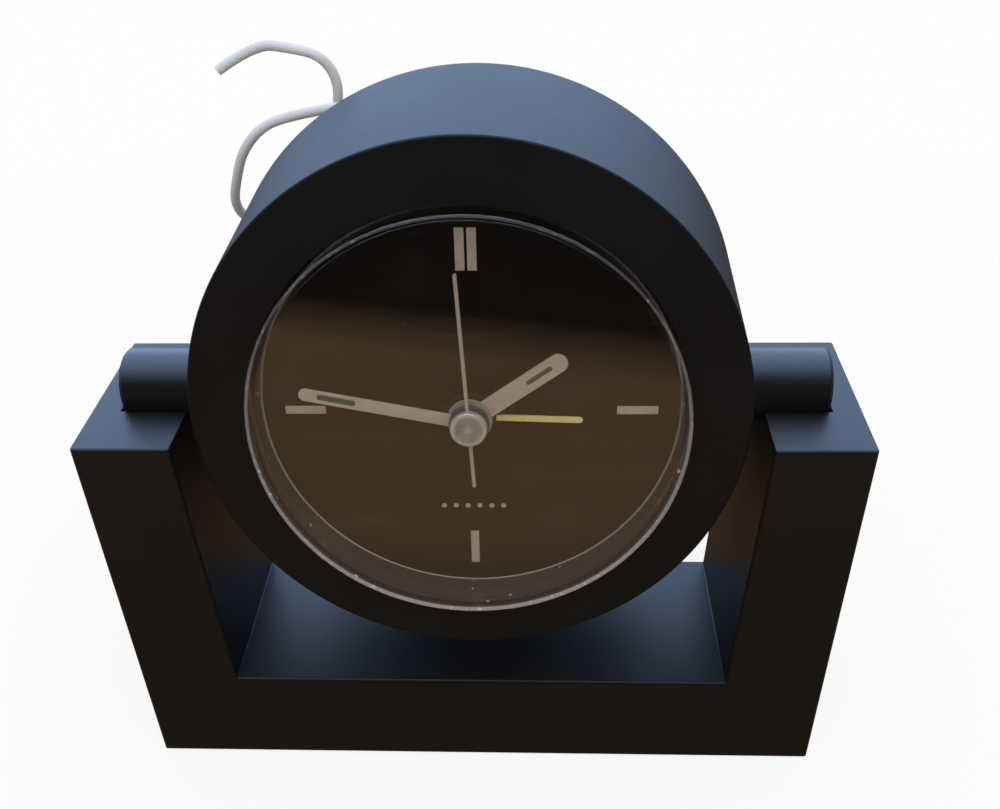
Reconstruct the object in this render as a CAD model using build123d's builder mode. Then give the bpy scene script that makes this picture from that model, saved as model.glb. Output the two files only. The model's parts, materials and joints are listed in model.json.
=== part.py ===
from build123d import *
import os
from math import cos, hypot, radians, sin, tan

os.makedirs("parts", exist_ok=True)

# A desk alarm clock: a drum that hangs by two trunnions in the arms of a U-shaped stand.
# Lengths are millimetres. The origin is the middle of the stand's footprint on the table,
# +X is to the right of someone facing the dial, +Y points to the clock's back, +Z is up.

# Every cut runs past the face that it leaves by this much.
overrun = 1.0

# Stand: a hollow U, closed below, whose arms narrow upward on their inner faces.
stand_depth = 32.5
arm_top_width = 15.1
arm_spread = 1.9
base_height = 20.2
drum_arm_gap = 2.263
swing_gap = 1.553
saddle_drop = 1.6
stand_wall = 2.5
stand_edge = 0.4
stand_foot_gap = 0.4
saddle_fit = 0.06
saddle_end_gap = 0.3

# What closes the stand below: a pad on a plate, and the plate's two screws.
pad_thickness = 1.0
plate_thickness = 2.0
plate_fit = 0.2
base_screw_inset = 22.0
base_post_radius = 3.4
base_screw_hole_fit = 0.15
pad_hole_gap = 0.9

# Screws: one size holds the covers, a longer one the trunnions, a smaller one the movement.
screw_radius = 1.2
screw_pilot_fit = 0.05
screw_head_radius = 2.3
screw_head_height = 1.2
screw_head_fit = 0.2
screw_slot_width_share = 0.3
screw_slot_depth_share = 0.5
cover_screw_length = 8.0
base_screw_length = 8.5
trunnion_screw_length = 13.0
plate_screw_length = 4.6
ear_screw_length = 2.9

# Drum housing: a shell that widens a little toward the back, with a flat bezel in front.
face_tilt = 5.6
drum_length = 36.0
drum_taper = 2.4
drum_wall = 2.2
bezel_wall = 2.2
bezel_edge = 0.4
rim_edge = 0.3
opening_fit = 0.1
ring_gap = 0.3
post_radius = 3.0
post_wall_bite = 0.79
post_count = 3
post_start = 30.0
boss_radius = 2.1
boss_wall_gap = 0.61
boss_start = 90.0

# Trunnions: plain pins screwed to the housing from inside.
trunnion_radius = 5.75
trunnion_engage = 10.2
trunnion_edge = 0.5
trunnion_seat_fit = 0.03
trunnion_boss_radius = 4.5
trunnion_boss_height = 3.0
boss_carrier_gap = 2.3
trunnion_pilot_spare = 1.0

# Crystal: a clear cup that stands out of the bezel and rests on the dial.
crystal_proud = 3.8
crystal_radius = 32.6
crystal_thickness = 1.2
crystal_wall = 1.1
crystal_edge = 0.9
crystal_flange = 1.6
crystal_seat_fit = 0.05

# Dial: a thin disc with raised baton markers, two side by side at twelve.
dial_thickness = 0.5
dial_hole_fit = 0.5
marker_height = 0.15
marker_margin = 3.2
marker_length = 6.2
marker_width = 1.55
marker_pair_gap = 0.35

# Carrier: the round plate behind the dial, screwed to the bezel's bosses.
carrier_thickness = 1.6
carrier_wall_gap = 0.5
carrier_post_gap = 0.4

# Movement case: a cup screwed to the back of the carrier by two ears.
case_top = 26.0
case_wall = 1.3
case_back = 1.6
case_corner_gap = 2.2
wheel_case_gap = 0.575
floor_gap = 1.4
ear_reach = 5.6
ear_width = 6.4
ear_thickness = 2.0
ear_height = -4.0
bridge_post_radius = 1.5
bridge_post_inset = 1.7
stator_post_radius = 0.9
board_post_radius = 1.5
board_pin_radius = 0.7
pivot_fit = 0.05

# Train bridge: the plate that carries the front pivots.
bridge_gap = 0.3
bridge_thickness = 1.2
bridge_edge_gap = 0.4

# Teeth, as shares of the module and of the tooth pitch.
addendum_share = 0.75
dedendum_share = 1.05
tooth_root_half_share = 0.23
tooth_tip_half_share = 0.09

# Numbers of teeth, from the rotor to the hands and from the knobs to the hands.
rotor_teeth = 6
intermediate_teeth = 30
intermediate_pinion_teeth = 6
seconds_teeth = 36
seconds_pinion_teeth = 6
third_teeth = 45
third_pinion_teeth = 6
centre_teeth = 48
cannon_teeth = 10
minute_wheel_teeth = 30
minute_pinion_teeth = 8
hour_teeth = 32
alarm_teeth = 36
alarm_pinion_teeth = 12

# Axes of the train: distance from the axis before, and direction counterclockwise from +X.
train_distance = 8.4
rotor_distance = 6.6
minute_distance = 9.0
alarm_distance = 10.4
third_direction = 132.0
intermediate_direction = 194.0
rotor_direction = 170.0
minute_direction = -5.0
alarm_direction = 75.0

# Wheels: thickness, the air between layers and how far a pinion passes its wheel.
wheel_thickness = 0.8
motion_wheel_thickness = 1.0
layer_gap = 0.2
pinion_pass = 0.2
arbor_radius = 0.45
pivot_sink = 1.0

# Coaxial pipes, from the middle outward.
seconds_arbor_radius = 0.5
minute_pipe_wall = 0.5
hour_pipe_wall = 0.7
alarm_pipe_wall = 0.6
pipe_fit = 0.1
clutch_length = 1.0
clutch_radius = 2.0

# Setting stems and their knobs behind the rear cover.
minute_stem_radius = 0.9
alarm_stem_radius = 1.0
knob_between_gap = 1.32
knob_height = 5.0
knob_gap = 0.5
knob_grip = 3.4
knob_edge = 0.5
knob_rib_count = 18
knob_rib_radius = 0.45
stem_hole_fit = 0.1

# Stepping motor: rotor magnet, stator, coil core, bobbin and winding.
magnet_radius = 2.4
magnet_height = 2.0
stator_gap = 0.4
stator_thickness = 0.8
stator_limb = 7.0
stator_yoke = 2.2
core_width = 1.6
core_post_gap = 0.3
core_top_gap = 1.5
bobbin_size = 5.2
bobbin_flange = 0.7
bobbin_end_gap = 0.3
bobbin_case_gap = 0.7
bobbin_stator_gap = 1.65
bobbin_wall = 0.6
core_fit = 0.1
winding_inset = 0.3
winding_fit = 0.05
winding_edge = 0.8

# Circuit board with its quartz can.
board_stem_gap = 1.13
board_case_gap = 0.7
board_post_gap = 1.0
board_thickness = 1.0
board_post_height = 1.8
board_post_inset = 2.5
board_pin_fit = 0.1
quartz_radius = 1.0
quartz_length = 6.0
quartz_gap = 0.03
quartz_height_share = 0.6

# Alarm contact: a bent leaf on the bridge that reaches under the alarm wheel.
leaf_thickness = 0.3
leaf_width = 2.4
leaf_foot = 4.0
leaf_finger = 1.2
leaf_wheel_gap = 1.075
leaf_direction = 205.0
leaf_gap = 0.3

# Hands, from the dial outward, and the time they show.
hand_thickness = 0.4
hand_pitch = 1.1
hand_bore_fit = 0.02
alarm_hand_lift = 2.0
alarm_reach = 16.9
alarm_width = 0.95
alarm_hub = 3.9
alarm_angle = 91.9
hour_reach = 17.45
hour_width = 2.95
hour_hub = 3.4
hour_angle = 54.6
hour_lume_tip = 2.55
hour_lume_length = 4.5
hour_lume_width = 0.7
minute_reach = 25.4
minute_width = 2.0
minute_hub = 3.0
minute_angle = 281.2
minute_lume_tip = 2.7
minute_lume_length = 5.7
minute_lume_width = 0.9
second_reach = 23.7
second_tail = 10.4
second_width = 0.55
second_hub = 2.2
second_angle = 357.0
lume_fit = 0.03
lume_sink = 0.05
cap_radius = 2.75
cap_height = 1.0
cap_round = 0.7
cap_gap = 0.1

# Rear cover: a disc set inside the housing's back rim.
cover_thickness = 2.0
cover_inset = 1.0
cover_fit = 0.25

# Battery, its trough in the cover, its contacts and its door.
battery_radius = 7.25
battery_length = 49.2
battery_nub_radius = 2.75
battery_nub_length = 1.3
case_trough_gap = 0.75
battery_gap = 0.3
battery_door_gap = 0.3
trough_wall = 1.2
trough_floor = 1.2
trough_drum_gap = 0.7
contact_room = 1.4
contact_thickness = 0.5
contact_width = 9.0
contact_fit = 0.1
door_thickness = 1.2
door_ledge = 0.9
door_gap = 0.3
door_pin_radius = 0.5
door_pin_length = 1.0
door_pin_fit = 0.06
door_notch_radius = 4.0
door_notch_depth = 0.5

# Buzzer, behind slots in the cover.
buzzer_x = 16.0
buzzer_y = 23.0
buzzer_radius = 10.0
buzzer_height = 3.0
buzzer_edge = 0.6
slot_count = 5
slot_spacing = 3.0
slot_length = 11.0
slot_width = 1.4

# Alarm switch: a slider in a slot of the cover.
switch_x = -12.5
switch_y = 23.0
switch_travel = 4.0
switch_neck_length = 4.0
switch_neck_width = 2.6
switch_fit = 0.2
switch_button_length = 6.0
switch_button_width = 5.0
switch_button_height = 2.0
switch_flange_length = 7.0
switch_flange_width = 5.0
switch_flange_height = 1.0
switch_rib_count = 3
switch_rib_depth = 0.5
switch_rib_width = 0.6
switch_rib_spacing = 1.5

# Lead and the gland that it leaves the cover by.
gland_x = -23.0
gland_y = 6.0
gland_radius = 2.4
gland_flange_radius = 3.4
gland_flange = 1.0
gland_tail = 5.5
gland_tail_radius = 1.7
gland_fit = 0.05
gland_inner_flange = 0.8
lead_radius = 0.85
lead_first_run = 6.8


def polar_place(distance, direction):
    """Place in the dial's plane, a distance from the drum's axis in a direction."""
    return (distance * cos(radians(direction)), distance * sin(radians(direction)))


def pitch_radius(distance, teeth, partner_teeth):
    """Pitch radius of a gear that shares a centre distance with its partner."""
    return distance * teeth / (teeth + partner_teeth)


def tip_radius(distance, teeth, partner_teeth):
    """Radius over the teeth of a gear that shares a centre distance with its partner."""
    radius = pitch_radius(distance, teeth, partner_teeth)
    return radius + 2 * radius / teeth * addendum_share


screw_pilot = screw_radius - screw_pilot_fit
screw_hole = screw_radius + base_screw_hole_fit

# Coaxial pipes, each bored to run on the one inside it.
minute_bore = seconds_arbor_radius + pipe_fit
minute_pipe_radius = minute_bore + minute_pipe_wall
hour_bore = minute_pipe_radius + pipe_fit
hour_pipe_radius = hour_bore + hour_pipe_wall
alarm_bore = hour_pipe_radius + pipe_fit
alarm_pipe_radius = alarm_bore + alarm_pipe_wall

# Places of the train's axes.
third_place = polar_place(train_distance, third_direction)
intermediate_place = polar_place(train_distance, intermediate_direction)
rotor_step = polar_place(rotor_distance, rotor_direction)
rotor_place = (intermediate_place[0] + rotor_step[0], intermediate_place[1] + rotor_step[1])
minute_place = polar_place(minute_distance, minute_direction)
alarm_place = polar_place(alarm_distance, alarm_direction)
knob_distance = hypot(minute_place[0] - alarm_place[0], minute_place[1] - alarm_place[1])
knob_radius = (knob_distance - knob_between_gap) / 2

# Outline of the movement case round the train, the coil and the board.
alarm_tip = tip_radius(alarm_distance, alarm_teeth, alarm_pinion_teeth)
minute_tip = tip_radius(minute_distance, minute_wheel_teeth, cannon_teeth)
intermediate_tip = tip_radius(rotor_distance, intermediate_teeth, rotor_teeth)
wheel_drop = max(alarm_tip, minute_tip - minute_place[1], intermediate_tip - intermediate_place[1])
room_bottom = -wheel_drop - wheel_case_gap
room_top = case_top - case_wall
case_bottom = room_bottom - case_wall
limb_left = rotor_place[0] - stator_limb / 2
limb_right = rotor_place[0] + stator_limb / 2
room_half_width = bobbin_case_gap + bobbin_size + bobbin_stator_gap - limb_left
case_half_width = room_half_width + case_wall
core_middle = bobbin_case_gap + bobbin_size / 2 - room_half_width
core_right = core_middle + core_width / 2
post_span = bridge_post_inset + bridge_post_radius
stator_bottom = room_bottom + post_span + core_post_gap
stator_top = room_top - post_span - core_top_gap
board_left = minute_place[0] + minute_stem_radius + board_stem_gap
board_right = room_half_width - board_case_gap
board_bottom = room_bottom + post_span + board_post_gap
board_top = room_top - post_span - board_post_gap

# Stations along the drum's axis, ahead of the trunnions.
dial_depth = alarm_hand_lift + 3 * hand_pitch + hand_thickness + cap_height + cap_gap + crystal_thickness
carrier_rear = trunnion_boss_radius + boss_carrier_gap
dial_rear = carrier_rear + carrier_thickness
dial_front = dial_rear + dial_thickness
crystal_front = dial_front + dial_depth
crystal_inner = crystal_front - crystal_thickness
face_ahead = crystal_front - crystal_proud
bezel_rear = face_ahead - bezel_wall
rear_edge = face_ahead - drum_length
cover_rear = rear_edge + cover_inset
cover_front = cover_rear + cover_thickness

# Layers of the train, each wheel given by its rear face.
alarm_wheel_rear = carrier_rear - layer_gap - motion_wheel_thickness
hour_wheel_rear = alarm_wheel_rear - layer_gap - motion_wheel_thickness
minute_wheel_rear = hour_wheel_rear - layer_gap - motion_wheel_thickness
bridge_front = minute_wheel_rear - bridge_gap
bridge_rear = bridge_front - bridge_thickness
centre_wheel_rear = bridge_rear - 2 * layer_gap - wheel_thickness
third_wheel_rear = centre_wheel_rear - clutch_length - wheel_thickness
seconds_wheel_rear = third_wheel_rear - 3 * layer_gap - wheel_thickness
intermediate_rear = seconds_wheel_rear - 6 * layer_gap - wheel_thickness
rotor_pinion_rear = intermediate_rear - pinion_pass
stator_rear = seconds_wheel_rear
core_level = stator_rear + stator_thickness / 2
case_floor = min(rotor_pinion_rear, core_level - bobbin_size / 2) - floor_gap
case_rear = case_floor - case_back
pivot_rear = case_floor - pivot_sink
pivot_front = bridge_rear + pivot_sink

# Levels of the hands, each given by its rear face.
alarm_level = dial_front + alarm_hand_lift
hour_level = alarm_level + hand_pitch
minute_level = hour_level + hand_pitch
second_level = minute_level + hand_pitch

# Battery trough, below the movement case.
battery_level = cover_rear + door_thickness + battery_door_gap + battery_radius
battery_span = battery_length + battery_nub_length
trough_half_length = battery_span / 2 + contact_room
trough_half_height = battery_radius + battery_gap
trough_front = battery_level + trough_half_height
battery_height = case_bottom - case_trough_gap - trough_wall - trough_half_height
trough_drop = trough_half_height + trough_wall - battery_height

# The drum goes round whatever needs most room: the crystal's seat, the trough or the case.
drum_slope_share = drum_taper / drum_length
flange_radius = crystal_radius + crystal_flange
ring_room = max(2 * post_radius - post_wall_bite, 2 * boss_radius + boss_wall_gap)


def front_needed(inner_radius, ahead):
    """Front radius of a housing that has an inner radius at a station along its axis."""
    return inner_radius + drum_wall - (face_ahead - ahead) * drum_slope_share


front_radius = max(
    front_needed(flange_radius + ring_gap + ring_room, bezel_rear),
    front_needed(hypot(trough_half_length + trough_wall, trough_drop) + trough_drum_gap, trough_front),
    front_needed(hypot(case_half_width, case_top) + case_corner_gap, carrier_rear),
)
back_radius = front_radius + drum_taper


def drum_radius(ahead):
    """Outer radius of the housing at a station along its axis."""
    return front_radius + (face_ahead - ahead) * drum_slope_share


inner_front = drum_radius(bezel_rear) - drum_wall
post_ring = inner_front + post_wall_bite - post_radius
boss_ring = inner_front - boss_wall_gap - boss_radius

# The stand goes round the drum, and is high enough for the drum to turn over its base.
inner_top = drum_radius(0) + drum_arm_gap
inner_foot = inner_top - arm_spread
half_width = inner_top + arm_top_width
axis_height = base_height + hypot(back_radius, rear_edge) + swing_gap
stand_height = axis_height - saddle_drop
trunnion_end = inner_top + trunnion_engage
plate_top = pad_thickness + plate_thickness
saddle_radius = trunnion_radius + saddle_fit
arm_hollow_top = axis_height - saddle_radius - stand_wall
base_screw_x = half_width - base_screw_inset

# The drum's own frame: local X to the right, local Y up the dial, local Z out of the dial.
tilt = radians(face_tilt)
drum = Plane(origin=(0, 0, axis_height), x_dir=(1, 0, 0), z_dir=(0, -cos(tilt), sin(tilt)))
drum_axis = Axis(drum.origin, drum.z_dir)
section = Plane(origin=drum.origin, x_dir=drum.x_dir, z_dir=-drum.y_dir)


def axis_plane(place):
    """Plane like the drum's, moved to a place in the dial's plane."""
    step = drum.x_dir * place[0] + drum.y_dir * place[1]
    return Plane(origin=drum.origin + step, x_dir=drum.x_dir, z_dir=drum.z_dir)


def hand_plane(level, angle):
    """Plane at a level above the trunnion axis whose local Y points at a clock angle."""
    turn = radians(angle)
    across = drum.x_dir * cos(turn) - drum.y_dir * sin(turn)
    return Plane(origin=drum.origin + drum.z_dir * level, x_dir=across, z_dir=drum.z_dir)


def gear_points(teeth, radius, phase):
    """Corner points of a gear with straight-flanked teeth, one tooth's middle at the phase."""
    module = 2 * radius / teeth
    root = radius - module * dedendum_share
    tip = radius + module * addendum_share
    pitch = 360 / teeth
    points = []
    for tooth in range(teeth):
        middle = phase + tooth * pitch
        for reach, share in (
            (root, -tooth_root_half_share),
            (tip, -tooth_tip_half_share),
            (tip, tooth_tip_half_share),
            (root, tooth_root_half_share),
        ):
            angle = radians(middle + pitch * share)
            points.append((reach * cos(angle), reach * sin(angle)))
    return points


def mesh_phase(direction, teeth, phase, partner_teeth):
    """Phase of the partner, lying in the given direction, whose gap meets this gear's tooth."""
    share = (direction - phase) / (360 / teeth)
    return direction + 180 - (360 / partner_teeth) * (0.5 - share)


def make_screw(name, seat, length):
    """A slotted screw whose head stands on the seat plane and whose shank goes below it."""
    with BuildPart() as screw:
        with BuildSketch(seat):
            Circle(screw_head_radius)
        extrude(amount=screw_head_height)
        with BuildSketch(seat):
            Circle(screw_pilot - screw_pilot_fit)
        extrude(amount=-length)
        with BuildSketch(seat.offset(screw_head_height)):
            Rectangle(2 * (screw_head_radius + overrun), screw_head_radius * screw_slot_width_share)
        extrude(amount=-screw_head_height * screw_slot_depth_share, mode=Mode.SUBTRACT)
    screw.part.label = name
    export_step(screw.part, f"parts/{name}.step")


# Stand frame: the U profile drawn in the upright plane across the clock.
with BuildPart() as stand_frame:
    with BuildSketch(Plane.XZ):
        with BuildLine():
            Polyline(
                (-half_width, stand_foot_gap),
                (half_width, stand_foot_gap),
                (half_width, stand_height),
                (inner_top, stand_height),
                (inner_foot, base_height),
                (-inner_foot, base_height),
                (-inner_top, stand_height),
                (-half_width, stand_height),
                close=True,
            )
        make_face()
    extrude(amount=stand_depth / 2, both=True)
    front_and_back = stand_frame.faces().sort_by(Axis.Y)
    chamfer(front_and_back[0].edges() + front_and_back[-1].edges(), stand_edge)
    with BuildSketch(Plane.XZ):
        with BuildLine():
            Polyline(
                (stand_wall - half_width, stand_foot_gap - overrun),
                (half_width - stand_wall, stand_foot_gap - overrun),
                (half_width - stand_wall, arm_hollow_top),
                (inner_top + stand_wall, arm_hollow_top),
                (inner_foot + stand_wall, base_height - stand_wall),
                (-inner_foot - stand_wall, base_height - stand_wall),
                (-inner_top - stand_wall, arm_hollow_top),
                (stand_wall - half_width, arm_hollow_top),
                close=True,
            )
        make_face()
    extrude(amount=stand_depth / 2 - stand_wall, both=True, mode=Mode.SUBTRACT)
    for side in (-1, 1):
        saddle = Plane(origin=(side * inner_foot, 0, axis_height), x_dir=(0, 1, 0), z_dir=(side, 0, 0))
        with BuildSketch(saddle):
            Circle(saddle_radius)
        extrude(amount=trunnion_end + saddle_end_gap - inner_foot, mode=Mode.SUBTRACT)
    with BuildSketch(Plane.XY.offset(plate_top)):
        with Locations((-base_screw_x, 0), (base_screw_x, 0)):
            Circle(base_post_radius)
    extrude(amount=base_height - stand_wall / 2 - plate_top)
    with BuildSketch(Plane.XY.offset(plate_top)):
        with Locations((-base_screw_x, 0), (base_screw_x, 0)):
            Circle(screw_pilot)
    extrude(amount=base_screw_length, mode=Mode.SUBTRACT)
stand_frame.part.label = "stand_frame"
export_step(stand_frame.part, "parts/stand_frame.step")

plate_width = 2 * (half_width - stand_wall - plate_fit)
plate_depth = stand_depth - 2 * (stand_wall + plate_fit)
with BuildPart() as bottom_plate:
    with BuildSketch(Plane.XY.offset(pad_thickness)):
        Rectangle(plate_width, plate_depth)
        with Locations((-base_screw_x, 0), (base_screw_x, 0)):
            Circle(screw_hole, mode=Mode.SUBTRACT)
    extrude(amount=plate_thickness)
    with BuildSketch(Plane.XY.offset(pad_thickness)):
        with Locations((-base_screw_x, 0), (base_screw_x, 0)):
            Circle(screw_head_radius + screw_head_fit)
    extrude(amount=screw_head_height, mode=Mode.SUBTRACT)
bottom_plate.part.label = "bottom_plate"
export_step(bottom_plate.part, "parts/bottom_plate.step")

with BuildPart() as base_pad:
    with BuildSketch(Plane.XY):
        Rectangle(plate_width, plate_depth)
        with Locations((-base_screw_x, 0), (base_screw_x, 0)):
            Circle(screw_head_radius + pad_hole_gap, mode=Mode.SUBTRACT)
    extrude(amount=pad_thickness)
base_pad.part.label = "base_pad"
export_step(base_pad.part, "parts/base_pad.step")

for number, side in enumerate((-1, 1), start=1):
    base_seat = Plane(
        origin=(side * base_screw_x, 0, pad_thickness + screw_head_height),
        x_dir=(1, 0, 0),
        z_dir=(0, 0, -1),
    )
    make_screw(f"base_screw_{number}", base_seat, base_screw_length)

# Housing: the drum's wall and bezel turned in one profile, then posts and bosses inside.
opening_radius = crystal_radius + opening_fit
boss_seat = drum_radius(0) - drum_wall - trunnion_boss_height
with BuildPart() as housing:
    with BuildSketch(section):
        with BuildLine():
            Polyline(
                (opening_radius, face_ahead),
                (front_radius - bezel_edge, face_ahead),
                (drum_radius(face_ahead - bezel_edge), face_ahead - bezel_edge),
                (drum_radius(rear_edge + rim_edge), rear_edge + rim_edge),
                (back_radius - rim_edge, rear_edge),
                (back_radius - drum_wall, rear_edge),
                (drum_radius(bezel_rear) - drum_wall, bezel_rear),
                (opening_radius, bezel_rear),
                close=True,
            )
        make_face()
    revolve(axis=drum_axis)
    with BuildSketch(drum.offset(bezel_rear)):
        with PolarLocations(post_ring, post_count, post_start):
            Circle(post_radius)
    extrude(amount=cover_front - bezel_rear)
    with BuildSketch(drum.offset(carrier_rear + carrier_thickness)):
        with PolarLocations(boss_ring, post_count, boss_start):
            Circle(boss_radius)
    extrude(amount=bezel_rear - dial_rear)
    for side in (-1, 1):
        boss = Plane(origin=(side * boss_seat, 0, axis_height), x_dir=(0, 1, 0), z_dir=(side, 0, 0))
        with BuildSketch(boss):
            Circle(trunnion_boss_radius)
        extrude(amount=trunnion_boss_height + drum_wall / 2)
        with BuildSketch(boss):
            Circle(screw_hole)
        extrude(amount=trunnion_boss_height + 2 * drum_wall, mode=Mode.SUBTRACT)
    with BuildSketch(drum.offset(cover_front)):
        with PolarLocations(post_ring, post_count, post_start):
            Circle(screw_pilot)
    extrude(amount=cover_screw_length, mode=Mode.SUBTRACT)
    with BuildSketch(drum.offset(dial_rear)):
        with PolarLocations(boss_ring, post_count, boss_start):
            Circle(screw_pilot)
    extrude(amount=plate_screw_length - carrier_thickness, mode=Mode.SUBTRACT)
housing.part.label = "housing"
export_step(housing.part, "parts/housing.step")

# Trunnions: each pin's inner end is hollowed to the housing's wall.
trunnion_start = drum_radius(0) - drum_wall
for side, side_name in ((-1, "left"), (1, "right")):
    pin_root = Plane(origin=(side * trunnion_start, 0, axis_height), x_dir=(0, 1, 0), z_dir=(side, 0, 0))
    with BuildPart() as trunnion:
        with BuildSketch(pin_root):
            Circle(trunnion_radius)
        extrude(amount=trunnion_end - trunnion_start)
        chamfer(trunnion.faces().sort_by(Axis.X)[-1 if side > 0 else 0].edges(), trunnion_edge)
        with BuildSketch(section):
            with BuildLine():
                Polyline(
                    (0, face_ahead),
                    (front_radius + trunnion_seat_fit, face_ahead),
                    (back_radius + trunnion_seat_fit, rear_edge),
                    (0, rear_edge),
                    close=True,
                )
            make_face()
        revolve(axis=drum_axis, mode=Mode.SUBTRACT)
        with BuildSketch(pin_root):
            Circle(screw_pilot)
        extrude(
            amount=boss_seat + trunnion_screw_length + trunnion_pilot_spare - trunnion_start,
            mode=Mode.SUBTRACT,
        )
    trunnion.part.label = f"trunnion_{side_name}"
    export_step(trunnion.part, f"parts/trunnion_{side_name}.step")
    screw_seat = Plane(origin=(side * boss_seat, 0, axis_height), x_dir=(0, 1, 0), z_dir=(-side, 0, 0))
    make_screw(f"trunnion_screw_{side_name}", screw_seat, trunnion_screw_length)

# Crystal: front disc, skirt and the flange that the bezel holds.
flange_front = bezel_rear - crystal_seat_fit
skirt_inner = crystal_radius - crystal_wall
with BuildPart() as crystal:
    with BuildSketch(section):
        with BuildLine():
            CenterArc(
                (crystal_radius - crystal_edge, crystal_front - crystal_edge), crystal_edge, 0, 90
            )
            Polyline(
                (crystal_radius - crystal_edge, crystal_front),
                (0, crystal_front),
                (0, crystal_inner),
                (skirt_inner, crystal_inner),
                (skirt_inner, dial_front),
                (flange_radius, dial_front),
                (flange_radius, flange_front),
                (crystal_radius, flange_front),
                (crystal_radius, crystal_front - crystal_edge),
            )
        make_face()
    revolve(axis=drum_axis)
crystal.part.label = "crystal"
export_step(crystal.part, "parts/crystal.step")

dial_hole = alarm_pipe_radius + dial_hole_fit
marker_middle = skirt_inner - marker_margin - marker_length / 2
with BuildPart() as dial_plate:
    with BuildSketch(drum.offset(dial_rear)):
        Circle(flange_radius)
        Circle(dial_hole, mode=Mode.SUBTRACT)
    extrude(amount=dial_thickness)
    with BuildSketch(drum.offset(dial_front)):
        for side in (-1, 1):
            with Locations((side * (marker_width + marker_pair_gap) / 2, marker_middle)):
                Rectangle(marker_width, marker_length)
            with Locations((side * marker_middle, 0)):
                Rectangle(marker_length, marker_width)
        with Locations((0, -marker_middle)):
            Rectangle(marker_width, marker_length)
    extrude(amount=marker_height)
dial_plate.part.label = "dial_plate"
export_step(dial_plate.part, "parts/dial_plate.step")

# Carrier plate, notched round the housing's posts.
carrier_radius = inner_front - carrier_wall_gap
with BuildPart() as carrier_plate:
    with BuildSketch(drum.offset(carrier_rear)):
        Circle(carrier_radius)
        Circle(alarm_pipe_radius + pivot_fit, mode=Mode.SUBTRACT)
        with PolarLocations(post_ring, post_count, post_start):
            Circle(post_radius + carrier_post_gap, mode=Mode.SUBTRACT)
        with PolarLocations(boss_ring, post_count, boss_start):
            Circle(screw_hole, mode=Mode.SUBTRACT)
        for side in (-1, 1):
            with Locations((side * (case_half_width + ear_reach / 2), ear_height)):
                Circle(screw_pilot, mode=Mode.SUBTRACT)
    extrude(amount=carrier_thickness)
carrier_plate.part.label = "carrier_plate"
export_step(carrier_plate.part, "parts/carrier_plate.step")

for number in range(post_count):
    screw_plane = axis_plane(polar_place(boss_ring, boss_start + number * 360 / post_count))
    plate_seat = Plane(
        origin=screw_plane.origin + drum.z_dir * carrier_rear, x_dir=drum.x_dir, z_dir=-drum.z_dir
    )
    make_screw(f"carrier_screw_{number + 1}", plate_seat, plate_screw_length)

# Axes of the train and the phases that set each tooth against a gap.
third_axis = axis_plane(third_place)
intermediate_axis = axis_plane(intermediate_place)
rotor_axis = axis_plane(rotor_place)
minute_axis = axis_plane(minute_place)
alarm_axis = axis_plane(alarm_place)
pivot_places = [third_place, intermediate_place, rotor_place]

# Movement case: a cup with posts for the bridge, the stator and the board.
case_height = case_top - case_bottom
case_middle = (case_top + case_bottom) / 2
bridge_posts = [
    (side * (room_half_width - bridge_post_inset), height)
    for side in (-1, 1)
    for height in (room_bottom + bridge_post_inset, room_top - bridge_post_inset)
]
board_posts = [
    (board_left + board_post_inset, board_top - board_post_inset),
    (board_right - board_post_inset, board_top - board_post_inset),
    ((board_left + board_right) / 2, board_bottom + board_post_inset),
]
stator_posts = [
    (core_right + stator_yoke, stator_bottom + stator_yoke / 2),
    (rotor_place[0], stator_top - stator_yoke / 2),
]
board_rear = case_floor + board_post_height
with BuildPart() as movement_case:
    with BuildSketch(drum.offset(case_rear)):
        with Locations((0, case_middle)):
            Rectangle(2 * case_half_width, case_height)
    extrude(amount=carrier_rear - case_rear)
    with BuildSketch(drum.offset(carrier_rear)):
        with Locations((0, ear_height)):
            Rectangle(2 * (case_half_width + ear_reach), ear_width)
    extrude(amount=-ear_thickness)
    with BuildSketch(drum.offset(case_floor)):
        with Locations((0, case_middle)):
            Rectangle(2 * room_half_width, case_height - 2 * case_wall)
    extrude(amount=carrier_rear - case_floor + overrun, mode=Mode.SUBTRACT)
    with BuildSketch(drum.offset(case_floor)):
        with Locations(*bridge_posts):
            Circle(bridge_post_radius)
    extrude(amount=bridge_rear - case_floor)
    with BuildSketch(drum.offset(case_floor)):
        with Locations(*stator_posts):
            Circle(stator_post_radius)
    extrude(amount=stator_rear - case_floor)
    with BuildSketch(drum.offset(case_floor)):
        with Locations(*board_posts):
            Circle(board_post_radius)
    extrude(amount=board_post_height)
    with BuildSketch(drum.offset(board_rear)):
        with Locations(*board_posts):
            Circle(board_pin_radius)
    extrude(amount=board_thickness)
    with BuildSketch(drum.offset(case_rear)):
        Circle(seconds_arbor_radius + pivot_fit)
        with Locations(*pivot_places):
            Circle(arbor_radius + pivot_fit)
        with Locations(minute_place):
            Circle(minute_stem_radius + pivot_fit)
        with Locations(alarm_place):
            Circle(alarm_stem_radius + pivot_fit)
    extrude(amount=case_back, mode=Mode.SUBTRACT)
    with BuildSketch(drum.offset(carrier_rear)):
        for side in (-1, 1):
            with Locations((side * (case_half_width + ear_reach / 2), ear_height)):
                Circle(screw_hole)
    extrude(amount=-ear_thickness, mode=Mode.SUBTRACT)
movement_case.part.label = "movement_case"
export_step(movement_case.part, "parts/movement_case.step")

for number, side in enumerate((-1, 1), start=1):
    ear_place = drum.origin + drum.x_dir * (side * (case_half_width + ear_reach / 2))
    ear_seat = Plane(
        origin=ear_place + drum.y_dir * ear_height + drum.z_dir * (carrier_rear - ear_thickness),
        x_dir=drum.x_dir,
        z_dir=-drum.z_dir,
    )
    make_screw(f"movement_screw_{number}", ear_seat, ear_screw_length)

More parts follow.
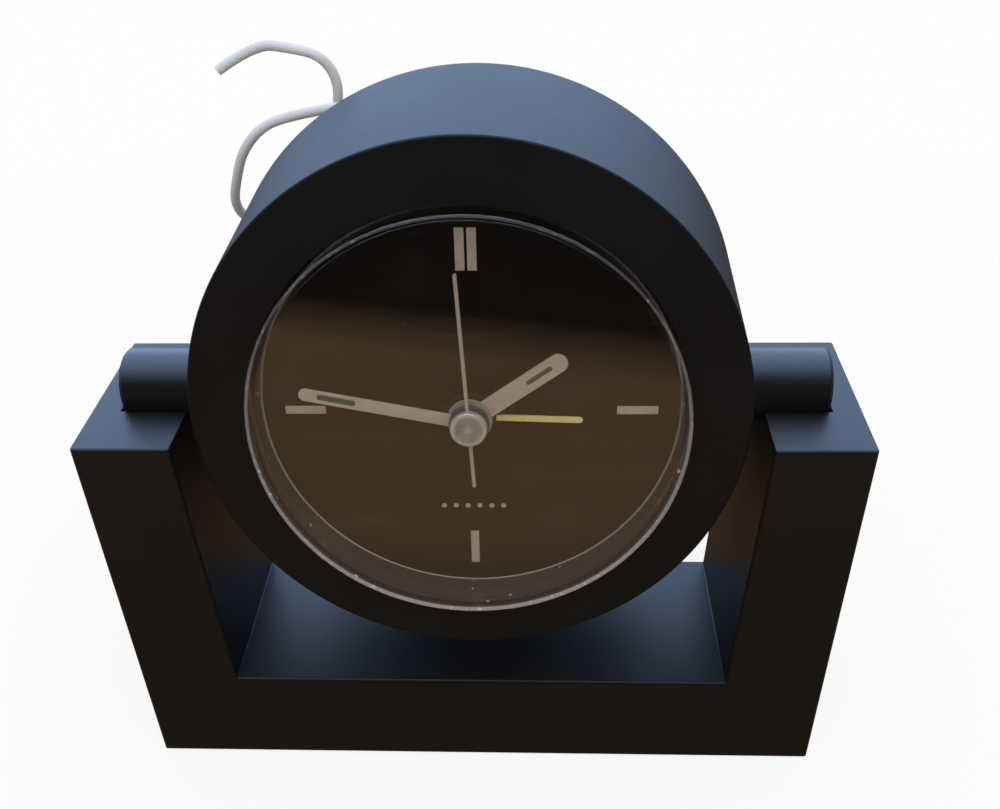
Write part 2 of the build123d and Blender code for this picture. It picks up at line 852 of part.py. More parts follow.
with BuildPart() as train_bridge:
    with BuildSketch(drum.offset(bridge_rear)):
        with Locations((0, case_middle)):
            Rectangle(
                2 * (room_half_width - bridge_edge_gap),
                case_height - 2 * (case_wall + bridge_edge_gap),
            )
        Circle(minute_pipe_radius + pivot_fit, mode=Mode.SUBTRACT)
        with Locations(*pivot_places):
            Circle(arbor_radius + pivot_fit, mode=Mode.SUBTRACT)
        with Locations(minute_place):
            Circle(minute_stem_radius + pivot_fit, mode=Mode.SUBTRACT)
        with Locations(alarm_place):
            Circle(alarm_stem_radius + pivot_fit, mode=Mode.SUBTRACT)
    extrude(amount=bridge_thickness)
train_bridge.part.label = "train_bridge"
export_step(train_bridge.part, "parts/train_bridge.step")

# Stepping motor: the rotor turns in the stator's hole, the coil sits on its core.
magnet_rear = core_level - magnet_height / 2
rotor_radius = pitch_radius(rotor_distance, rotor_teeth, intermediate_teeth)
with BuildPart() as rotor:
    with BuildSketch(rotor_axis.offset(pivot_rear)):
        Circle(arbor_radius)
    extrude(amount=pivot_front - pivot_rear)
    with BuildSketch(rotor_axis.offset(magnet_rear)):
        Circle(magnet_radius)
    extrude(amount=magnet_height)
    with BuildSketch(rotor_axis.offset(rotor_pinion_rear)):
        with BuildLine():
            Polyline(*gear_points(rotor_teeth, rotor_radius, 0), close=True)
        make_face()
    extrude(amount=wheel_thickness + 2 * pinion_pass)
rotor.part.label = "rotor"
export_step(rotor.part, "parts/rotor.step")

with BuildPart() as stator:
    with BuildSketch(drum.offset(stator_rear)):
        with BuildLine():
            Polyline(
                (core_right, stator_bottom),
                (limb_right, stator_bottom),
                (limb_right, stator_top),
                (core_right, stator_top),
                (core_right, stator_top - stator_yoke),
                (limb_left, stator_top - stator_yoke),
                (limb_left, stator_bottom + stator_yoke),
                (core_right, stator_bottom + stator_yoke),
                close=True,
            )
        make_face()
        with Locations(rotor_place):
            Circle(magnet_radius + stator_gap, mode=Mode.SUBTRACT)
    extrude(amount=stator_thickness)
stator.part.label = "stator"
export_step(stator.part, "parts/stator.step")

with BuildPart() as coil_core:
    with BuildSketch(drum.offset(stator_rear)):
        with Locations((core_middle, (stator_bottom + stator_top) / 2)):
            Rectangle(core_width, stator_top - stator_bottom)
    extrude(amount=stator_thickness)
coil_core.part.label = "coil_core"
export_step(coil_core.part, "parts/coil_core.step")

# Bobbin and winding are drawn square to the core and run along it.
bobbin_start = stator_bottom + stator_yoke + bobbin_end_gap
bobbin_length = stator_top - stator_yoke - bobbin_end_gap - bobbin_start
core_plane = Plane(
    origin=drum.origin + drum.x_dir * core_middle + drum.y_dir * bobbin_start + drum.z_dir * core_level,
    x_dir=drum.x_dir,
    z_dir=drum.y_dir,
)
tube_width = core_width + 2 * (core_fit + bobbin_wall)
tube_depth = stator_thickness + 2 * (core_fit + bobbin_wall)
with BuildPart() as coil_bobbin:
    with BuildSketch(core_plane):
        Rectangle(tube_width, tube_depth)
    extrude(amount=bobbin_length)
    for station in (0, bobbin_length - bobbin_flange):
        with BuildSketch(core_plane.offset(station)):
            Rectangle(bobbin_size, bobbin_size)
        extrude(amount=bobbin_flange)
    with BuildSketch(core_plane):
        Rectangle(core_width + 2 * core_fit, stator_thickness + 2 * core_fit)
    extrude(amount=bobbin_length, mode=Mode.SUBTRACT)
coil_bobbin.part.label = "coil_bobbin"
export_step(coil_bobbin.part, "parts/coil_bobbin.step")

with BuildPart() as coil_winding:
    with BuildSketch(core_plane.offset(bobbin_flange + winding_fit)):
        RectangleRounded(bobbin_size - 2 * winding_inset, bobbin_size - 2 * winding_inset, winding_edge)
        Rectangle(tube_width + 2 * winding_fit, tube_depth + 2 * winding_fit, mode=Mode.SUBTRACT)
    extrude(amount=bobbin_length - 2 * (bobbin_flange + winding_fit))
coil_winding.part.label = "coil_winding"
export_step(coil_winding.part, "parts/coil_winding.step")

# Going train: intermediate, seconds, third and centre wheels.
intermediate_phase = mesh_phase(rotor_direction + 180, rotor_teeth, 0, intermediate_teeth)
intermediate_radius = pitch_radius(rotor_distance, intermediate_teeth, rotor_teeth)
intermediate_pinion = pitch_radius(train_distance, intermediate_pinion_teeth, seconds_teeth)
with BuildPart() as intermediate_wheel:
    with BuildSketch(intermediate_axis.offset(pivot_rear)):
        Circle(arbor_radius)
    extrude(amount=pivot_front - pivot_rear)
    with BuildSketch(intermediate_axis.offset(intermediate_rear)):
        with BuildLine():
            Polyline(*gear_points(intermediate_teeth, intermediate_radius, intermediate_phase), close=True)
        make_face()
    extrude(amount=wheel_thickness)
    with BuildSketch(intermediate_axis.offset(intermediate_rear)):
        with BuildLine():
            Polyline(*gear_points(intermediate_pinion_teeth, intermediate_pinion, 0), close=True)
        make_face()
    extrude(amount=seconds_wheel_rear + wheel_thickness + pinion_pass - intermediate_rear)
intermediate_wheel.part.label = "intermediate_wheel"
export_step(intermediate_wheel.part, "parts/intermediate_wheel.step")

seconds_phase = mesh_phase(intermediate_direction + 180, intermediate_pinion_teeth, 0, seconds_teeth)
seconds_radius = pitch_radius(train_distance, seconds_teeth, intermediate_pinion_teeth)
seconds_pinion = pitch_radius(train_distance, seconds_pinion_teeth, third_teeth)
with BuildPart() as seconds_wheel:
    with BuildSketch(drum.offset(pivot_rear)):
        Circle(seconds_arbor_radius)
    extrude(amount=second_level + hand_thickness - pivot_rear)
    with BuildSketch(drum.offset(seconds_wheel_rear)):
        with BuildLine():
            Polyline(*gear_points(seconds_teeth, seconds_radius, seconds_phase), close=True)
        make_face()
    extrude(amount=wheel_thickness)
    with BuildSketch(drum.offset(seconds_wheel_rear)):
        with BuildLine():
            Polyline(*gear_points(seconds_pinion_teeth, seconds_pinion, 0), close=True)
        make_face()
    extrude(amount=third_wheel_rear + wheel_thickness + pinion_pass - seconds_wheel_rear)
seconds_wheel.part.label = "seconds_wheel"
export_step(seconds_wheel.part, "parts/seconds_wheel.step")

third_phase = mesh_phase(third_direction, seconds_pinion_teeth, 0, third_teeth)
third_radius = pitch_radius(train_distance, third_teeth, seconds_pinion_teeth)
third_pinion = pitch_radius(train_distance, third_pinion_teeth, centre_teeth)
with BuildPart() as third_wheel:
    with BuildSketch(third_axis.offset(pivot_rear)):
        Circle(arbor_radius)
    extrude(amount=pivot_front - pivot_rear)
    with BuildSketch(third_axis.offset(third_wheel_rear)):
        with BuildLine():
            Polyline(*gear_points(third_teeth, third_radius, third_phase), close=True)
        make_face()
    extrude(amount=wheel_thickness)
    with BuildSketch(third_axis.offset(third_wheel_rear)):
        with BuildLine():
            Polyline(*gear_points(third_pinion_teeth, third_pinion, 0), close=True)
        make_face()
    extrude(amount=centre_wheel_rear + wheel_thickness + pinion_pass - third_wheel_rear)
third_wheel.part.label = "third_wheel"
export_step(third_wheel.part, "parts/third_wheel.step")

# The centre wheel grips the minute pipe's tail: the slipping clutch that lets the time be set.
centre_phase = mesh_phase(third_direction + 180, third_pinion_teeth, 0, centre_teeth)
centre_radius = pitch_radius(train_distance, centre_teeth, third_pinion_teeth)
with BuildPart() as centre_wheel:
    with BuildSketch(drum.offset(centre_wheel_rear)):
        with BuildLine():
            Polyline(*gear_points(centre_teeth, centre_radius, centre_phase), close=True)
        make_face()
    extrude(amount=wheel_thickness)
    with BuildSketch(drum.offset(centre_wheel_rear - layer_gap)):
        Circle(clutch_radius)
    extrude(amount=wheel_thickness + 2 * layer_gap)
    with BuildSketch(drum.offset(centre_wheel_rear - layer_gap)):
        Circle(minute_pipe_radius + pivot_fit)
    extrude(amount=wheel_thickness + 2 * layer_gap, mode=Mode.SUBTRACT)
centre_wheel.part.label = "centre_wheel"
export_step(centre_wheel.part, "parts/centre_wheel.step")

# Motion works: cannon pinion, minute wheel, hour wheel and alarm wheel.
cannon_radius = pitch_radius(minute_distance, cannon_teeth, minute_wheel_teeth)
with BuildPart() as cannon_pinion:
    with BuildSketch(drum.offset(centre_wheel_rear - layer_gap)):
        Circle(minute_pipe_radius)
    extrude(amount=minute_level + hand_thickness - centre_wheel_rear + layer_gap)
    with BuildSketch(drum.offset(bridge_front + layer_gap / 2)):
        with BuildLine():
            Polyline(*gear_points(cannon_teeth, cannon_radius, 0), close=True)
        make_face()
    extrude(amount=hour_wheel_rear - bridge_front - layer_gap)
    with BuildSketch(drum.offset(centre_wheel_rear - layer_gap)):
        Circle(minute_bore)
    extrude(amount=minute_level + hand_thickness - centre_wheel_rear + layer_gap, mode=Mode.SUBTRACT)
cannon_pinion.part.label = "cannon_pinion"
export_step(cannon_pinion.part, "parts/cannon_pinion.step")

minute_phase = mesh_phase(minute_direction, cannon_teeth, 0, minute_wheel_teeth)
minute_wheel_radius = pitch_radius(minute_distance, minute_wheel_teeth, cannon_teeth)
minute_pinion_radius = pitch_radius(minute_distance, minute_pinion_teeth, hour_teeth)
knob_front = cover_rear - knob_gap
stem_end = knob_front - knob_grip
with BuildPart() as minute_wheel:
    with BuildSketch(minute_axis.offset(stem_end)):
        Circle(minute_stem_radius)
    extrude(amount=hour_wheel_rear + motion_wheel_thickness - stem_end)
    with BuildSketch(minute_axis.offset(minute_wheel_rear)):
        with BuildLine():
            Polyline(*gear_points(minute_wheel_teeth, minute_wheel_radius, minute_phase), close=True)
        make_face()
    extrude(amount=motion_wheel_thickness)
    with BuildSketch(minute_axis.offset(minute_wheel_rear)):
        with BuildLine():
            Polyline(*gear_points(minute_pinion_teeth, minute_pinion_radius, 0), close=True)
        make_face()
    extrude(amount=hour_wheel_rear + motion_wheel_thickness - minute_wheel_rear)
minute_wheel.part.label = "minute_wheel"
export_step(minute_wheel.part, "parts/minute_wheel.step")

hour_phase = mesh_phase(minute_direction + 180, minute_pinion_teeth, 0, hour_teeth)
hour_wheel_radius = pitch_radius(minute_distance, hour_teeth, minute_pinion_teeth)
with BuildPart() as hour_wheel:
    with BuildSketch(drum.offset(hour_wheel_rear)):
        with BuildLine():
            Polyline(*gear_points(hour_teeth, hour_wheel_radius, hour_phase), close=True)
        make_face()
    extrude(amount=motion_wheel_thickness)
    with BuildSketch(drum.offset(hour_wheel_rear)):
        Circle(hour_pipe_radius)
    extrude(amount=hour_level + hand_thickness - hour_wheel_rear)
    with BuildSketch(drum.offset(hour_wheel_rear)):
        Circle(hour_bore)
    extrude(amount=hour_level + hand_thickness - hour_wheel_rear, mode=Mode.SUBTRACT)
hour_wheel.part.label = "hour_wheel"
export_step(hour_wheel.part, "parts/hour_wheel.step")

alarm_pinion_radius = pitch_radius(alarm_distance, alarm_pinion_teeth, alarm_teeth)
alarm_wheel_radius = pitch_radius(alarm_distance, alarm_teeth, alarm_pinion_teeth)
alarm_phase = mesh_phase(alarm_direction + 180, alarm_pinion_teeth, 0, alarm_teeth)
with BuildPart() as alarm_wheel:
    with BuildSketch(drum.offset(alarm_wheel_rear)):
        with BuildLine():
            Polyline(*gear_points(alarm_teeth, alarm_wheel_radius, alarm_phase), close=True)
        make_face()
    extrude(amount=motion_wheel_thickness)
    with BuildSketch(drum.offset(alarm_wheel_rear)):
        Circle(alarm_pipe_radius)
    extrude(amount=alarm_level + hand_thickness - alarm_wheel_rear)
    with BuildSketch(drum.offset(alarm_wheel_rear)):
        Circle(alarm_bore)
    extrude(amount=alarm_level + hand_thickness - alarm_wheel_rear, mode=Mode.SUBTRACT)
alarm_wheel.part.label = "alarm_wheel"
export_step(alarm_wheel.part, "parts/alarm_wheel.step")

with BuildPart() as alarm_pinion:
    with BuildSketch(alarm_axis.offset(stem_end)):
        Circle(alarm_stem_radius)
    extrude(amount=alarm_wheel_rear + motion_wheel_thickness - stem_end)
    with BuildSketch(alarm_axis.offset(alarm_wheel_rear - pinion_pass)):
        with BuildLine():
            Polyline(*gear_points(alarm_pinion_teeth, alarm_pinion_radius, 0), close=True)
        make_face()
    extrude(amount=motion_wheel_thickness + pinion_pass)
alarm_pinion.part.label = "alarm_pinion"
export_step(alarm_pinion.part, "parts/alarm_pinion.step")

# Setting knobs: ribbed, pushed on the ends of the two stems.
for knob_axis, knob_name, stem_radius in (
    (minute_axis, "time_set_knob", minute_stem_radius),
    (alarm_axis, "alarm_set_knob", alarm_stem_radius),
):
    with BuildPart() as knob:
        with BuildSketch(knob_axis.offset(knob_front)):
            Circle(knob_radius)
        extrude(amount=-knob_height)
        knob_face = knob.faces().filter_by(Plane(drum.origin, z_dir=drum.z_dir)).sort_by(drum_axis)[0]
        chamfer(knob_face.edges(), knob_edge)
        with BuildSketch(knob_axis.offset(knob_front)):
            with PolarLocations(knob_radius, knob_rib_count):
                Circle(knob_rib_radius)
        extrude(amount=-knob_height, mode=Mode.SUBTRACT)
        with BuildSketch(knob_axis.offset(knob_front)):
            Circle(stem_radius + hand_bore_fit)
        extrude(amount=-knob_grip, mode=Mode.SUBTRACT)
    knob.part.label = knob_name
    export_step(knob.part, f"parts/{knob_name}.step")

# Circuit board on the case's posts, with the quartz can lying on it.
board_front = board_rear + board_thickness
with BuildPart() as circuit_board:
    with BuildSketch(drum.offset(board_rear)):
        with Locations(((board_left + board_right) / 2, (board_bottom + board_top) / 2)):
            Rectangle(board_right - board_left, board_top - board_bottom)
        with Locations(*board_posts):
            Circle(board_pin_radius + board_pin_fit, mode=Mode.SUBTRACT)
    extrude(amount=board_thickness)
circuit_board.part.label = "circuit_board"
export_step(circuit_board.part, "parts/circuit_board.step")

quartz_bottom = board_bottom + (board_top - board_bottom - quartz_length) * quartz_height_share
quartz_plane = Plane(
    origin=drum.origin
    + drum.x_dir * ((board_left + board_right) / 2)
    + drum.y_dir * quartz_bottom
    + drum.z_dir * (board_front + quartz_radius + quartz_gap),
    x_dir=drum.x_dir,
    z_dir=drum.y_dir,
)
with BuildPart() as quartz_can:
    with BuildSketch(quartz_plane):
        Circle(quartz_radius)
    extrude(amount=quartz_length)
quartz_can.part.label = "quartz_can"
export_step(quartz_can.part, "parts/quartz_can.step")

# Alarm contact: foot on the bridge, riser, and a finger just behind the alarm wheel.
leaf_turn = radians(leaf_direction)
leaf_out = drum.x_dir * cos(leaf_turn) + drum.y_dir * sin(leaf_turn)
leaf_plane = Plane(
    origin=drum.origin + leaf_out * (alarm_tip + leaf_wheel_gap) + drum.z_dir * bridge_front,
    x_dir=leaf_out,
    z_dir=leaf_out.cross(drum.z_dir),
)
leaf_rise = alarm_wheel_rear - leaf_gap - bridge_front
with BuildPart() as alarm_contact:
    with BuildSketch(leaf_plane):
        with BuildLine():
            Polyline(
                (0, 0),
                (leaf_foot, 0),
                (leaf_foot, leaf_thickness),
                (leaf_thickness, leaf_thickness),
                (leaf_thickness, leaf_rise),
                (-leaf_finger, leaf_rise),
                (-leaf_finger, leaf_rise - leaf_thickness),
                (0, leaf_rise - leaf_thickness),
                close=True,
            )
        make_face()
    extrude(amount=leaf_width / 2, both=True)
alarm_contact.part.label = "alarm_contact"
export_step(alarm_contact.part, "parts/alarm_contact.step")

# Hands: straight bars with round ends, on hubs that grip the pipes.
with BuildPart() as alarm_hand:
    with BuildSketch(hand_plane(alarm_level, alarm_angle)):
        Circle(alarm_hub)
        with Locations((0, (alarm_reach - alarm_width / 2) / 2)):
            Rectangle(alarm_width, alarm_reach - alarm_width / 2)
        with Locations((0, alarm_reach - alarm_width / 2)):
            Circle(alarm_width / 2)
        Circle(alarm_pipe_radius + hand_bore_fit, mode=Mode.SUBTRACT)
    extrude(amount=hand_thickness)
alarm_hand.part.label = "alarm_hand"
export_step(alarm_hand.part, "parts/alarm_hand.step")

for hand_name, level, angle, reach, width, hub, bore, lume_tip, lume_length, lume_width in (
    (
        "hour",
        hour_level,
        hour_angle,
        hour_reach,
        hour_width,
        hour_hub,
        hour_pipe_radius,
        hour_lume_tip,
        hour_lume_length,
        hour_lume_width,
    ),
    (
        "minute",
        minute_level,
        minute_angle,
        minute_reach,
        minute_width,
        minute_hub,
        minute_pipe_radius,
        minute_lume_tip,
        minute_lume_length,
        minute_lume_width,
    ),
):
    lume_middle = reach - lume_tip - lume_length / 2
    with BuildPart() as hand:
        with BuildSketch(hand_plane(level, angle)):
            Circle(hub)
            with Locations((0, (reach - width / 2) / 2)):
                Rectangle(width, reach - width / 2)
            with Locations((0, reach - width / 2)):
                Circle(width / 2)
            with Locations((0, lume_middle)):
                SlotOverall(lume_length, lume_width, rotation=90, mode=Mode.SUBTRACT)
            Circle(bore + hand_bore_fit, mode=Mode.SUBTRACT)
        extrude(amount=hand_thickness)
    hand.part.label = f"{hand_name}_hand"
    export_step(hand.part, f"parts/{hand_name}_hand.step")
    with BuildPart() as lume:
        with BuildSketch(hand_plane(level, angle)):
            with Locations((0, lume_middle)):
                SlotOverall(lume_length - 2 * lume_fit, lume_width - 2 * lume_fit, rotation=90)
        extrude(amount=hand_thickness - lume_sink)
    lume.part.label = f"{hand_name}_lume"
    export_step(lume.part, f"parts/{hand_name}_lume.step")

with BuildPart() as second_hand:
    with BuildSketch(hand_plane(second_level, second_angle)):
        Circle(second_hub)
        with Locations((0, (second_reach - second_tail) / 2)):
            SlotOverall(second_reach + second_tail, second_width, rotation=90)
        Circle(seconds_arbor_radius + hand_bore_fit, mode=Mode.SUBTRACT)
    extrude(amount=hand_thickness)
second_hand.part.label = "second_hand"
export_step(second_hand.part, "parts/second_hand.step")

cap_plane = drum.offset(second_level + hand_thickness)
with BuildPart() as hub_cap:
    with BuildSketch(cap_plane):
        Circle(cap_radius)
    extrude(amount=cap_height)
    cap_top = hub_cap.faces().filter_by(Plane(drum.origin, z_dir=drum.z_dir)).sort_by(drum_axis)[-1]
    fillet(cap_top.edges(), cap_round)
hub_cap.part.label = "hub_cap"
export_step(hub_cap.part, "parts/hub_cap.step")

# Rear cover: disc, battery trough, door recess, slots and holes.
cover_radius = drum_radius(cover_front) - drum_wall - cover_fit
door_half_length = trough_half_length + door_ledge
door_half_height = trough_half_height + door_ledge
door_pin_level = cover_rear + door_thickness / 2
door_pin_height = battery_height - door_half_height + door_thickness / 2
slot_half = (switch_neck_length + switch_travel) / 2 + switch_fit
with BuildPart() as rear_cover:
    with BuildSketch(drum.offset(cover_rear)):
        Circle(cover_radius)
    extrude(amount=cover_thickness)
    with BuildSketch(drum.offset(cover_front)):
        with Locations((0, battery_height)):
            Rectangle(2 * (trough_half_length + trough_wall), 2 * (trough_half_height + trough_wall))
    extrude(amount=trough_front + trough_floor - cover_front)
    with BuildSketch(drum.offset(cover_rear)):
        with Locations((0, battery_height)):
            Rectangle(2 * trough_half_length, 2 * trough_half_height)
    extrude(amount=trough_front - cover_rear, mode=Mode.SUBTRACT)
    with BuildSketch(drum.offset(cover_rear)):
        with Locations((0, battery_height)):
            Rectangle(2 * (door_half_length + door_gap), 2 * (door_half_height + door_gap))
    extrude(amount=door_thickness, mode=Mode.SUBTRACT)
    for side in (-1, 1):
        pin_place = drum.origin + drum.x_dir * (side * door_half_length) + drum.y_dir * door_pin_height
        pin_plane = Plane(
            origin=pin_place + drum.z_dir * door_pin_level, x_dir=drum.y_dir, z_dir=drum.x_dir * side
        )
        with BuildSketch(pin_plane):
            Circle(door_pin_radius + door_pin_fit)
        extrude(amount=door_pin_length + door_gap, mode=Mode.SUBTRACT)
    with BuildSketch(drum.offset(cover_rear)):
        with Locations(minute_place):
            Circle(minute_stem_radius + stem_hole_fit)
        with Locations(alarm_place):
            Circle(alarm_stem_radius + stem_hole_fit)
        with PolarLocations(post_ring, post_count, post_start):
            Circle(screw_hole)
        for number in range(slot_count):
            with Locations((buzzer_x, buzzer_y + (number - (slot_count - 1) / 2) * slot_spacing)):
                SlotOverall(slot_length, slot_width)
        with Locations((switch_x, switch_y)):
            Rectangle(2 * slot_half, switch_neck_width + 2 * switch_fit)
        with Locations((gland_x, gland_y)):
            Circle(gland_radius + gland_fit)
    extrude(amount=cover_thickness, mode=Mode.SUBTRACT)
    with BuildSketch(drum.offset(cover_rear)):
        with PolarLocations(post_ring, post_count, post_start):
            Circle(screw_head_radius + screw_head_fit)
    extrude(amount=screw_head_height, mode=Mode.SUBTRACT)
rear_cover.part.label = "rear_cover"
export_step(rear_cover.part, "parts/rear_cover.step")

for number in range(post_count):
    screw_plane = axis_plane(polar_place(post_ring, post_start + number * 360 / post_count))
    cover_seat = Plane(
        origin=screw_plane.origin + drum.z_dir * (cover_rear + screw_head_height),
        x_dir=drum.x_dir,
        z_dir=-drum.z_dir,
    )
    make_screw(f"cover_screw_{number + 1}", cover_seat, cover_screw_length)

# Battery, lying across the drum with its nub to the right.
battery_plane = Plane(
    origin=drum.origin
    - drum.x_dir * (battery_span / 2)
    + drum.y_dir * battery_height
    + drum.z_dir * battery_level,
    x_dir=drum.y_dir,
    z_dir=drum.x_dir,
)
with BuildPart() as battery:
    with BuildSketch(battery_plane):
        Circle(battery_radius)
    extrude(amount=battery_length)
    with BuildSketch(battery_plane.offset(battery_length)):
        Circle(battery_nub_radius)
    extrude(amount=battery_nub_length)
battery.part.label = "battery"
export_step(battery.part, "parts/battery.step")

# Contacts: a flat plate at the nub's end and a bowed leaf at the other.
with BuildPart() as contact_positive:
    with BuildSketch(battery_plane.offset(battery_span + contact_room - contact_thickness)):
        Rectangle(contact_width, contact_width)
    extrude(amount=contact_thickness)
    with BuildSketch(battery_plane.offset(battery_span + contact_fit)):
        Circle(battery_nub_radius)
    extrude(amount=contact_room - contact_fit)
contact_positive.part.label = "contact_positive"
export_step(contact_positive.part, "parts/contact_positive.step")

bow_plane = Plane(origin=battery_plane.origin, x_dir=drum.y_dir, z_dir=drum.z_dir)
with BuildPart() as contact_negative:
    with BuildSketch(battery_plane.offset(contact_thickness - contact_room)):
        Rectangle(contact_width, contact_width)
    extrude(amount=-contact_thickness)
    with BuildSketch(bow_plane):
        with BuildLine():
            ThreePointArc(
                (-contact_width / 2, contact_room - contact_thickness),
                (0, contact_fit),
                (contact_width / 2, contact_room - contact_thickness),
            )
            Line(
                (contact_width / 2, contact_room - contact_thickness),
                (-contact_width / 2, contact_room - contact_thickness),
            )
        make_face()
    extrude(amount=contact_width / 2, both=True)
contact_negative.part.label = "contact_negative"
export_step(contact_negative.part, "parts/contact_negative.step")

# Battery door, flush with the cover, on two pins near its lower edge.
with BuildPart() as battery_door:
    with BuildSketch(drum.offset(cover_rear)):
        with Locations((0, battery_height)):
            Rectangle(2 * door_half_length, 2 * door_half_height)
    extrude(amount=door_thickness)
    lower_edges = battery_door.edges().filter_by(Axis.X).sort_by(Axis(drum.origin, drum.y_dir))[:2]
    fillet(lower_edges.sort_by(drum_axis)[-1], door_thickness / 2)
    with BuildSketch(drum.offset(cover_rear)):
        with Locations((0, battery_height + door_half_height)):
            Circle(door_notch_radius)
    extrude(amount=door_notch_depth, mode=Mode.SUBTRACT)
    pin_place = drum.origin - drum.x_dir * (door_half_length + door_pin_length)
    with BuildSketch(
        Plane(
            origin=pin_place + drum.y_dir * door_pin_height + drum.z_dir * door_pin_level,
            x_dir=drum.y_dir,
            z_dir=drum.x_dir,
        )
    ):
        Circle(door_pin_radius)
    extrude(amount=2 * (door_half_length + door_pin_length))
battery_door.part.label = "battery_door"
export_step(battery_door.part, "parts/battery_door.step")

with BuildPart() as buzzer:
    with BuildSketch(drum.offset(cover_front)):
        with Locations((buzzer_x, buzzer_y)):
            Circle(buzzer_radius)
    extrude(amount=buzzer_height)
    buzzer_face = buzzer.faces().filter_by(Plane(drum.origin, z_dir=drum.z_dir)).sort_by(drum_axis)[-1]
    chamfer(buzzer_face.edges(), buzzer_edge)
buzzer.part.label = "buzzer"
export_step(buzzer.part, "parts/buzzer.step")

# Alarm switch: button outside, neck in the slot, flange inside; it rests at its left end.
switch_rest = switch_x - switch_travel / 2
with BuildPart() as alarm_switch:
    with BuildSketch(drum.offset(cover_rear - switch_fit)):
        with Locations((switch_rest, switch_y)):
            Rectangle(switch_button_length, switch_button_width)
    extrude(amount=-switch_button_height)
    with BuildSketch(drum.offset(cover_rear - switch_fit - switch_button_height)):
        for number in range(switch_rib_count):
            offset_x = (number - (switch_rib_count - 1) / 2) * switch_rib_spacing
            with Locations((switch_rest + offset_x, switch_y)):
                Rectangle(switch_rib_width, switch_button_width)
    extrude(amount=switch_rib_depth, mode=Mode.SUBTRACT)
    with BuildSketch(drum.offset(cover_rear - switch_fit)):
        with Locations((switch_rest, switch_y)):
            Rectangle(switch_neck_length, switch_neck_width)
    extrude(amount=cover_thickness + 2 * switch_fit)
    with BuildSketch(drum.offset(cover_front + switch_fit)):
        with Locations((switch_rest, switch_y)):
            Rectangle(switch_flange_length, switch_flange_width)
    extrude(amount=switch_flange_height)
alarm_switch.part.label = "alarm_switch"
export_step(alarm_switch.part, "parts/alarm_switch.step")

# Gland: flanges on both sides of the cover and a tail that narrows toward the lead.
gland_plane = Plane(
    origin=drum.origin + drum.x_dir * gland_x + drum.y_dir * gland_y + drum.z_dir * cover_rear,
    x_dir=drum.x_dir,
    z_dir=-drum.z_dir,
)
with BuildPart() as lead_gland:
    with BuildSketch(gland_plane.offset(-cover_thickness - gland_inner_flange)):
        Circle(gland_flange_radius)
    extrude(amount=gland_inner_flange)
    with BuildSketch(gland_plane.offset(-cover_thickness)):
        Circle(gland_radius)
    extrude(amount=cover_thickness)
    with BuildSketch(gland_plane):
        Circle(gland_flange_radius)
    extrude(amount=gland_flange)
    with BuildSketch(gland_plane.offset(gland_flange)):
        Circle(gland_radius)
    with BuildSketch(gland_plane.offset(gland_flange + gland_tail)):
        Circle(gland_tail_radius)
    loft()
lead_gland.part.label = "lead_gland"
export_step(lead_gland.part, "parts/lead_gland.step")

# Lead: a springy round wire that leaves the gland, curls up beside the drum's back,
# makes one loop behind it and ends in the air above it.
lead_exit = gland_plane.origin + gland_plane.z_dir * (gland_flange + gland_tail)
lead_route = [
    (-25.6, 42.3, 74.4),
    (-31.0, 46.6, 75.6),
    (-38.2, 47.4, 77.6),
    (-44.8, 44.4, 80.1),
    (-45.6, 40.4, 85.2),
    (-43.2, 37.2, 91.4),
    (-40.8, 35.0, 96.8),
    (-36.4, 34.2, 101.5),
    (-30.0, 34.0, 103.3),
    (-22.7, 34.2, 104.4),
    (-15.4, 35.0, 104.6),
    (-9.2, 36.4, 101.4),
    (-6.0, 38.4, 95.2),
    (-6.8, 40.6, 88.4),
    (-9.8, 42.0, 82.0),
    (-15.2, 43.0, 78.0),
    (-21.6, 43.0, 78.6),
    (-26.0, 42.4, 83.2),
    (-26.6, 41.4, 89.6),
    (-25.4, 40.6, 95.2),
    (-24.6, 39.9, 101.4),
    (-23.7, 39.3, 107.2),
    (-26.1, 38.6, 111.5),
    (-31.1, 37.9, 112.9),
    (-36.5, 37.2, 113.8),
    (-42.2, 36.4, 111.6),
]
lead_bend = lead_exit + gland_plane.z_dir * lead_first_run
lead_points = [lead_exit, lead_bend] + [Vector(*point) for point in lead_route]
fillet_run_share = 0.45
lead_radii = []
for before, corner, after in zip(lead_points, lead_points[1:], lead_points[2:]):
    turn = (corner - before).get_angle(after - corner)
    shorter_run = min((corner - before).length, (after - corner).length)
    lead_radii.append(fillet_run_share * shorter_run / tan(radians(turn / 2)))
print("lead radii", [round(radius, 1) for radius in lead_radii])
with BuildPart() as lead:
    with BuildLine() as lead_path:
        FilletPolyline(*lead_points, radius=lead_radii)
    with BuildSketch(Plane(origin=lead_path.wire() @ 0, z_dir=lead_path.wire() % 0)):
        Circle(lead_radius)
    sweep(path=lead_path.wire())
lead.part.label = "lead"
export_step(lead.part, "parts/lead.step")
lead_length = lead_path.wire().length
print("lead length", round(lead_length, 1), "volume", round(lead.part.volume, 2))
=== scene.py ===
import json
from math import pi, radians

import bmesh
import bpy
from mathutils import Matrix, Vector

